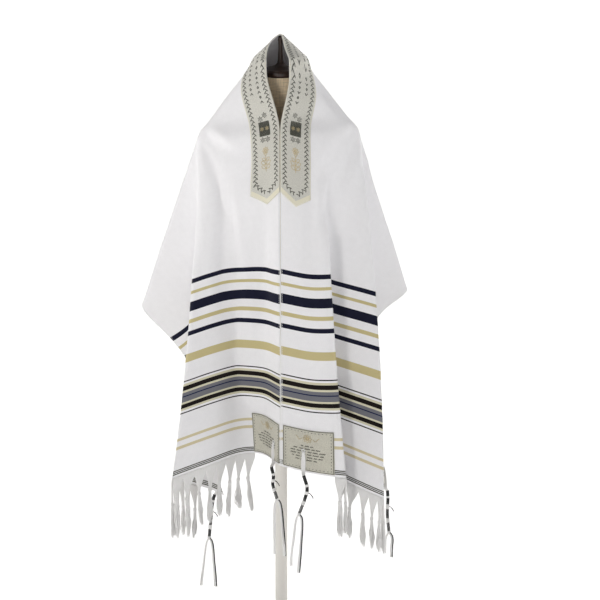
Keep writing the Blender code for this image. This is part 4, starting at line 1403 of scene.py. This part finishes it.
def corner_tassel(plan, rng):
    """White threads and dark threads of a corner tassel, each with its radius."""
    string, core, winding = sizes().string_radius, sizes().core_radius, sizes().winding_radius
    s, t = plan["eyelet"]
    end = math.copysign(HALF_LENGTH, s)
    over_hem = on_cloth(end, t, TASSEL_STAND_OFF)
    over_hem[1] += plan["clear"]
    cord = np.array([over_hem + np.array((x, 0, z)) for x, z in plan["cord"]])
    path = smooth_line(np.linspace(0, 1, len(cord)), cord, 60)
    eyelet, edge = on_cloth(s, t, 0.0022), on_cloth(end, t, 0.0028)
    white, dark = [], []
    for k in range(4):
        off = np.array(((k - 1.5) * string * 1.5, 0, 0))
        loop = np.array([eyelet + off * 0.5 - (0, 0, 0.001), (eyelet + edge) / 2 + off * 1.1,
                         edge + off, path[0] + off * 0.7, path[8] + off * 0.4])
        white.append((smooth_line(np.linspace(0, 1, 5), loop, 16), string))
    white.append((path, core))
    for start, stop, thread in WINDINGS:
        out = core + winding * (0.6 if thread == "black" else 0.9)
        turns = wound(path, start, stop, out, 2.05 * winding)
        if thread == "black":
            dark.append((turns, winding))
        else:
            white.append((turns, winding * 1.15))
    for side, (x, z) in zip((-1, 1), plan["ends"]):
        tip = over_hem + np.array((x, 0, z))
        out = np.array((side * 0.004, 0, -0.006))
        ways = np.array([path[-1], path[-1] + out, (path[-1] + out + tip) / 2 + out * 0.4, tip])
        line = smooth_line((0, 0.12, 0.55, 1.0), ways, 26)
        white += [(one, string) for one in bundle(line, 3, 0.0016, rng)]
        if side == 1:
            dark += [(one, string) for one in bundle(line + (0.0024, -0.001, 0.0), 1, 0.0004, rng)]
    loose = ((0, 0, 0), (0.004, -0.001, -0.002), (0.008, -0.002, -0.007), (0.0095, -0.001, -0.011))
    dark.append((wound(path, 0.50, 0.53, core * 1.6, 0.02)[:1] + np.array(loose), string * 0.7))
    return white, dark


class TALLIT_OT_corner_tassels(bpy.types.Operator):
    """Tie a wound tassel through the eyelet of each corner patch"""
    bl_idname = "tallit.corner_tassels"
    bl_label = "Corner tassels"

    def execute(self, context):
        for number, (name, plan) in enumerate(CORNER_TASSELS.items()):
            white, dark = corner_tassel(plan, np.random.default_rng(TASSEL_SEED + number))
            strings = tubes(f"tassel_strings_{name}", *zip(*white), finish("white yarn"), sides=7)
            in_place(strings, "white_yarn", f"tassel_{name}")
            windings = tubes(f"tassel_windings_{name}", *zip(*dark), finish("black yarn"), sides=6)
            in_place(windings, "white_yarn")
            ring = on_cloth(*circle(*plan["eyelet"], 0.0032, 16).T, 0.0018)
            eyelet = tubes(f"tassel_eyelet_{name}", [ring], 0.0009, finish("hem"), sides=6)
            in_place(eyelet, "white_yarn")
        return {"FINISHED"}


def form_ring(height, grow=0.0, tilt=0.0):
    """Points round the dress form at a height, moved out by grow. tilt is the rise from front to back."""
    half_w, half_d, mid_y = through(FORM_SECTIONS, height)
    turns = 2 * math.pi * np.arange(FORM_STEPS) / FORM_STEPS
    c, s = np.cos(turns), np.sin(turns)
    x = (half_w + grow) * np.sign(c) * np.abs(c) ** (2 / FORM_SQUARENESS)
    y = (half_d + grow) * np.sign(s) * np.abs(s) ** (2 / FORM_SQUARENESS)
    return np.stack([x, y + mid_y, height + y * tilt], -1)


class TALLIT_OT_dress_form(bpy.types.Operator):
    """Model the limbless linen form with its seams"""
    bl_idname = "tallit.dress_form"
    bl_label = "Dress form"

    def execute(self, context):
        low, high = FORM_SECTIONS[0][0], FORM_SECTIONS[-1][0]
        slope, blend, proud = math.tan(NECK_TILT), 0.03, 0.0001
        rings = [form_ring(low, grow=-0.004), form_ring(low, grow=-0.0012)]
        rings += [form_ring(z, tilt=slope * np.clip((z - high) / blend + 1, 0, 1))
                  for z in np.linspace(low, high, 96)]
        body = lofted("linen_form", rings, finish("linen"))
        body.data.set_sharp_from_angle(angle=math.radians(50))
        in_place(body, "linen", "form_body")
        rows = [form_ring(z, grow=proud) for z in np.linspace(low + 0.004, high - 0.012, 60)]
        seams = [np.array([row[step] for row in rows]) for step in range(0, FORM_STEPS, FORM_STEPS // 6)]
        along = [(0.3, 0.9, 0.1)] * len(seams) + [(0.001, 0.0, 1.0)]
        waist = form_ring(WAIST, grow=proud)
        seams.append(np.concatenate([waist, waist[:1]]))
        in_place(tubes("form_seams", seams, 0.0008, finish("linen"), sides=6, along=along), "linen")
        return {"FINISHED"}


def rounded(profile, sharp_from):
    """A profile with three points added between each two, on a smooth line up to the row sharp_from."""
    profile = np.array(profile)
    fine = [profile[0]]
    for k, (a, b) in enumerate(zip(profile, profile[1:])):
        before, after = profile[max(k - 1, 0)], profile[min(k + 2, len(profile) - 1)]
        for f in (0.25, 0.5, 0.75, 1.0):
            point = a + (b - a) * f
            if k < sharp_from and f < 1.0:
                point = 0.5 * ((2 * a) + (b - before) * f + (2 * before - 5 * a + 4 * b - after) * f**2
                               + (3 * a - before - 3 * b + after) * f**3)
            fine.append(point)
    return fine


class TALLIT_OT_neck_cap(bpy.types.Operator):
    """Turn the dark wooden neck cap and its knob"""
    bl_idname = "tallit.neck_cap"
    bl_label = "Neck cap"

    def execute(self, context):
        cap = turned("turned_neck_cap", rounded(CAP_PROFILE, PLATE_ROW), finish("beech"))
        cap.location = (0.0, FORM_SECTIONS[-1][3], FORM_SECTIONS[-1][0])
        cap.rotation_euler = (NECK_TILT, 0.0, 0.0)
        in_place(cap, "dark_wood", "form_neck_cap")
        return {"FINISHED"}


class TALLIT_OT_stand(bpy.types.Operator):
    """Turn the steel pole and the round base"""
    bl_idname = "tallit.stand"
    bl_label = "Stand"

    def execute(self, context):
        wide, high, edge = BASE_RADIUS, BASE_HEIGHT, 0.0045
        rim = [(wide - edge + edge * math.sin(a), edge * math.cos(a) + 0.002)
               for a in np.linspace(0.1, math.pi / 2, 7)]
        slope = [(wide - 0.008 - (wide - 0.070) * f, 0.0078 + (high - 0.0080) * (3 * f**2 - 2 * f**3))
                 for f in np.linspace(1, 0, 12)]
        base = turned("round_base", [(0.0, high), (0.045, high), *slope, *rim, (wide, 0.0012),
                                     (wide - 0.001, 0.0), (0.0, 0.0)], finish("powder coat"), 128)
        in_place(base, "coated_steel", "stand_base")
        foot, top, tube, collar, plate = POLE_FOOT, POLE_TOP, 0.013, 0.022, 0.030
        pole = turned("steel_pole", [
            (0.0, top), (plate - 0.001, top), (plate, top - 0.001), (plate, top - 0.005),
            (plate - 0.001, top - 0.006), (tube + 0.002, top - 0.0075), (tube, top - 0.010),
            (tube, foot + 0.0455), (collar - 0.003, foot + 0.045), (collar - 0.001, foot + 0.0443),
            (collar, foot + 0.0425), (collar, foot + 0.001), (collar - 0.001, foot), (0.0, foot)],
            finish("powder coat"), 64)
        in_place(pole, "coated_steel", "stand_pole")
        return {"FINISHED"}


def soft_light(name, place, aim, side, power, tint, spread):
    """A square area lamp that faces a point."""
    data = bpy.data.lights.new(name, "AREA")
    data.size = side
    data.energy = power
    data.color = tint
    data.spread = math.radians(spread)
    lamp = bpy.data.objects.new(name, data)
    lamp.location = place
    x, y, z = unit(np.subtract(aim, place))
    lamp.rotation_euler = (math.acos(-z), 0.0, math.atan2(-x, y))
    bpy.context.scene.collection.objects.link(lamp)


def sweep():
    """The white floor, which bends up into a wall behind and beside the part."""
    steps = 72
    turns = np.linspace(0, math.pi / 2, 17)
    flat = SWEEP_WALL - SWEEP_BEND
    walled = [(flat + SWEEP_BEND * math.sin(a), SWEEP_BEND - SWEEP_BEND * math.cos(a)) for a in turns]
    walled.append((SWEEP_WALL, SWEEP_HEIGHT))
    rows = len(walled)
    open_floor = [(r, 0.0) for r in np.linspace(flat, OPEN_FLOOR, rows)]
    points, faces = [(0.0, 0.0, 0.0)], []
    for n in range(steps):
        angle = 2 * math.pi * n / steps - math.pi
        profile = walled if abs(angle) < SWEEP_TURN else open_floor
        points += [(r * math.sin(angle), r * math.cos(angle), z) for r, z in profile]
        here, there = 1 + n * rows, 1 + (n + 1) % steps * rows
        faces.append((0, there, here))
        faces += [(here + k, there + k, there + k + 1, here + k + 1) for k in range(rows - 1)]
    return add_mesh("floor_and_sweep", points, faces, finish("acrylic"))


class TALLIT_OT_stage(bpy.types.Operator):
    """Lay the pale floor and set the soft lights and the camera"""
    bl_idname = "tallit.stage"
    bl_label = "Stage"

    def execute(self, context):
        scene = context.scene
        floor = sweep()
        world = bpy.data.worlds.new("pale studio")
        world.use_nodes = True
        glow = world.node_tree.nodes["Background"].inputs
        glow["Color"].default_value, glow["Strength"].default_value = WORLD_TINT, WORLD_STRENGTH
        scene.world = world
        scene.view_settings.view_transform = "Standard"
        for name, lamp in LAMPS.items():
            soft_light(name, *lamp)
        data = bpy.data.cameras.new("camera")
        data.sensor_width = 36.0
        data.lens = CAMERA_LENS
        camera = bpy.data.objects.new("camera", data)
        camera.location = CAMERA_PLACE
        camera.rotation_euler = (CAMERA_TILT, 0.0, 0.0)
        scene.collection.objects.link(camera)
        scene.camera = camera
        return {"FINISHED"}


class TALLIT_PT_panel(bpy.types.Panel):
    """Lists the pieces, their sizes and their colours"""
    bl_idname = "TALLIT_PT_panel"
    bl_label = "Tallit"
    bl_space_type = "VIEW_3D"
    bl_region_type = "UI"
    bl_category = "Tallit"

    def draw(self, context):
        for operator in OPERATORS:
            self.layout.operator(operator.bl_idname)
        for group in (context.scene.tallit_sizes, context.scene.tallit_colours):
            box = self.layout.box()
            for name in group.__annotations__:
                box.prop(group, name)


OPERATORS = (TALLIT_OT_stage, TALLIT_OT_cloth, TALLIT_OT_hems, TALLIT_OT_neckband,
             TALLIT_OT_corner_patches, TALLIT_OT_fringe, TALLIT_OT_corner_tassels,
             TALLIT_OT_dress_form, TALLIT_OT_neck_cap, TALLIT_OT_stand)
CLASSES = (TallitSizes, TallitColours, *OPERATORS, TALLIT_PT_panel)


def register():
    for one in CLASSES:
        bpy.utils.register_class(one)
    bpy.types.Scene.tallit_sizes = bpy.props.PointerProperty(type=TallitSizes)
    bpy.types.Scene.tallit_colours = bpy.props.PointerProperty(type=TallitColours)


def unregister():
    del bpy.types.Scene.tallit_colours
    del bpy.types.Scene.tallit_sizes
    for one in reversed(CLASSES):
        bpy.utils.unregister_class(one)


def main():
    register()
    bpy.ops.tallit.stage()
    bpy.ops.tallit.cloth()
    bpy.ops.tallit.hems()
    bpy.ops.tallit.neckband()
    bpy.ops.tallit.corner_patches()
    bpy.ops.tallit.fringe()
    bpy.ops.tallit.corner_tassels()
    bpy.ops.tallit.dress_form()
    bpy.ops.tallit.neck_cap()
    bpy.ops.tallit.stand()


if __name__ == "__main__":
    main()
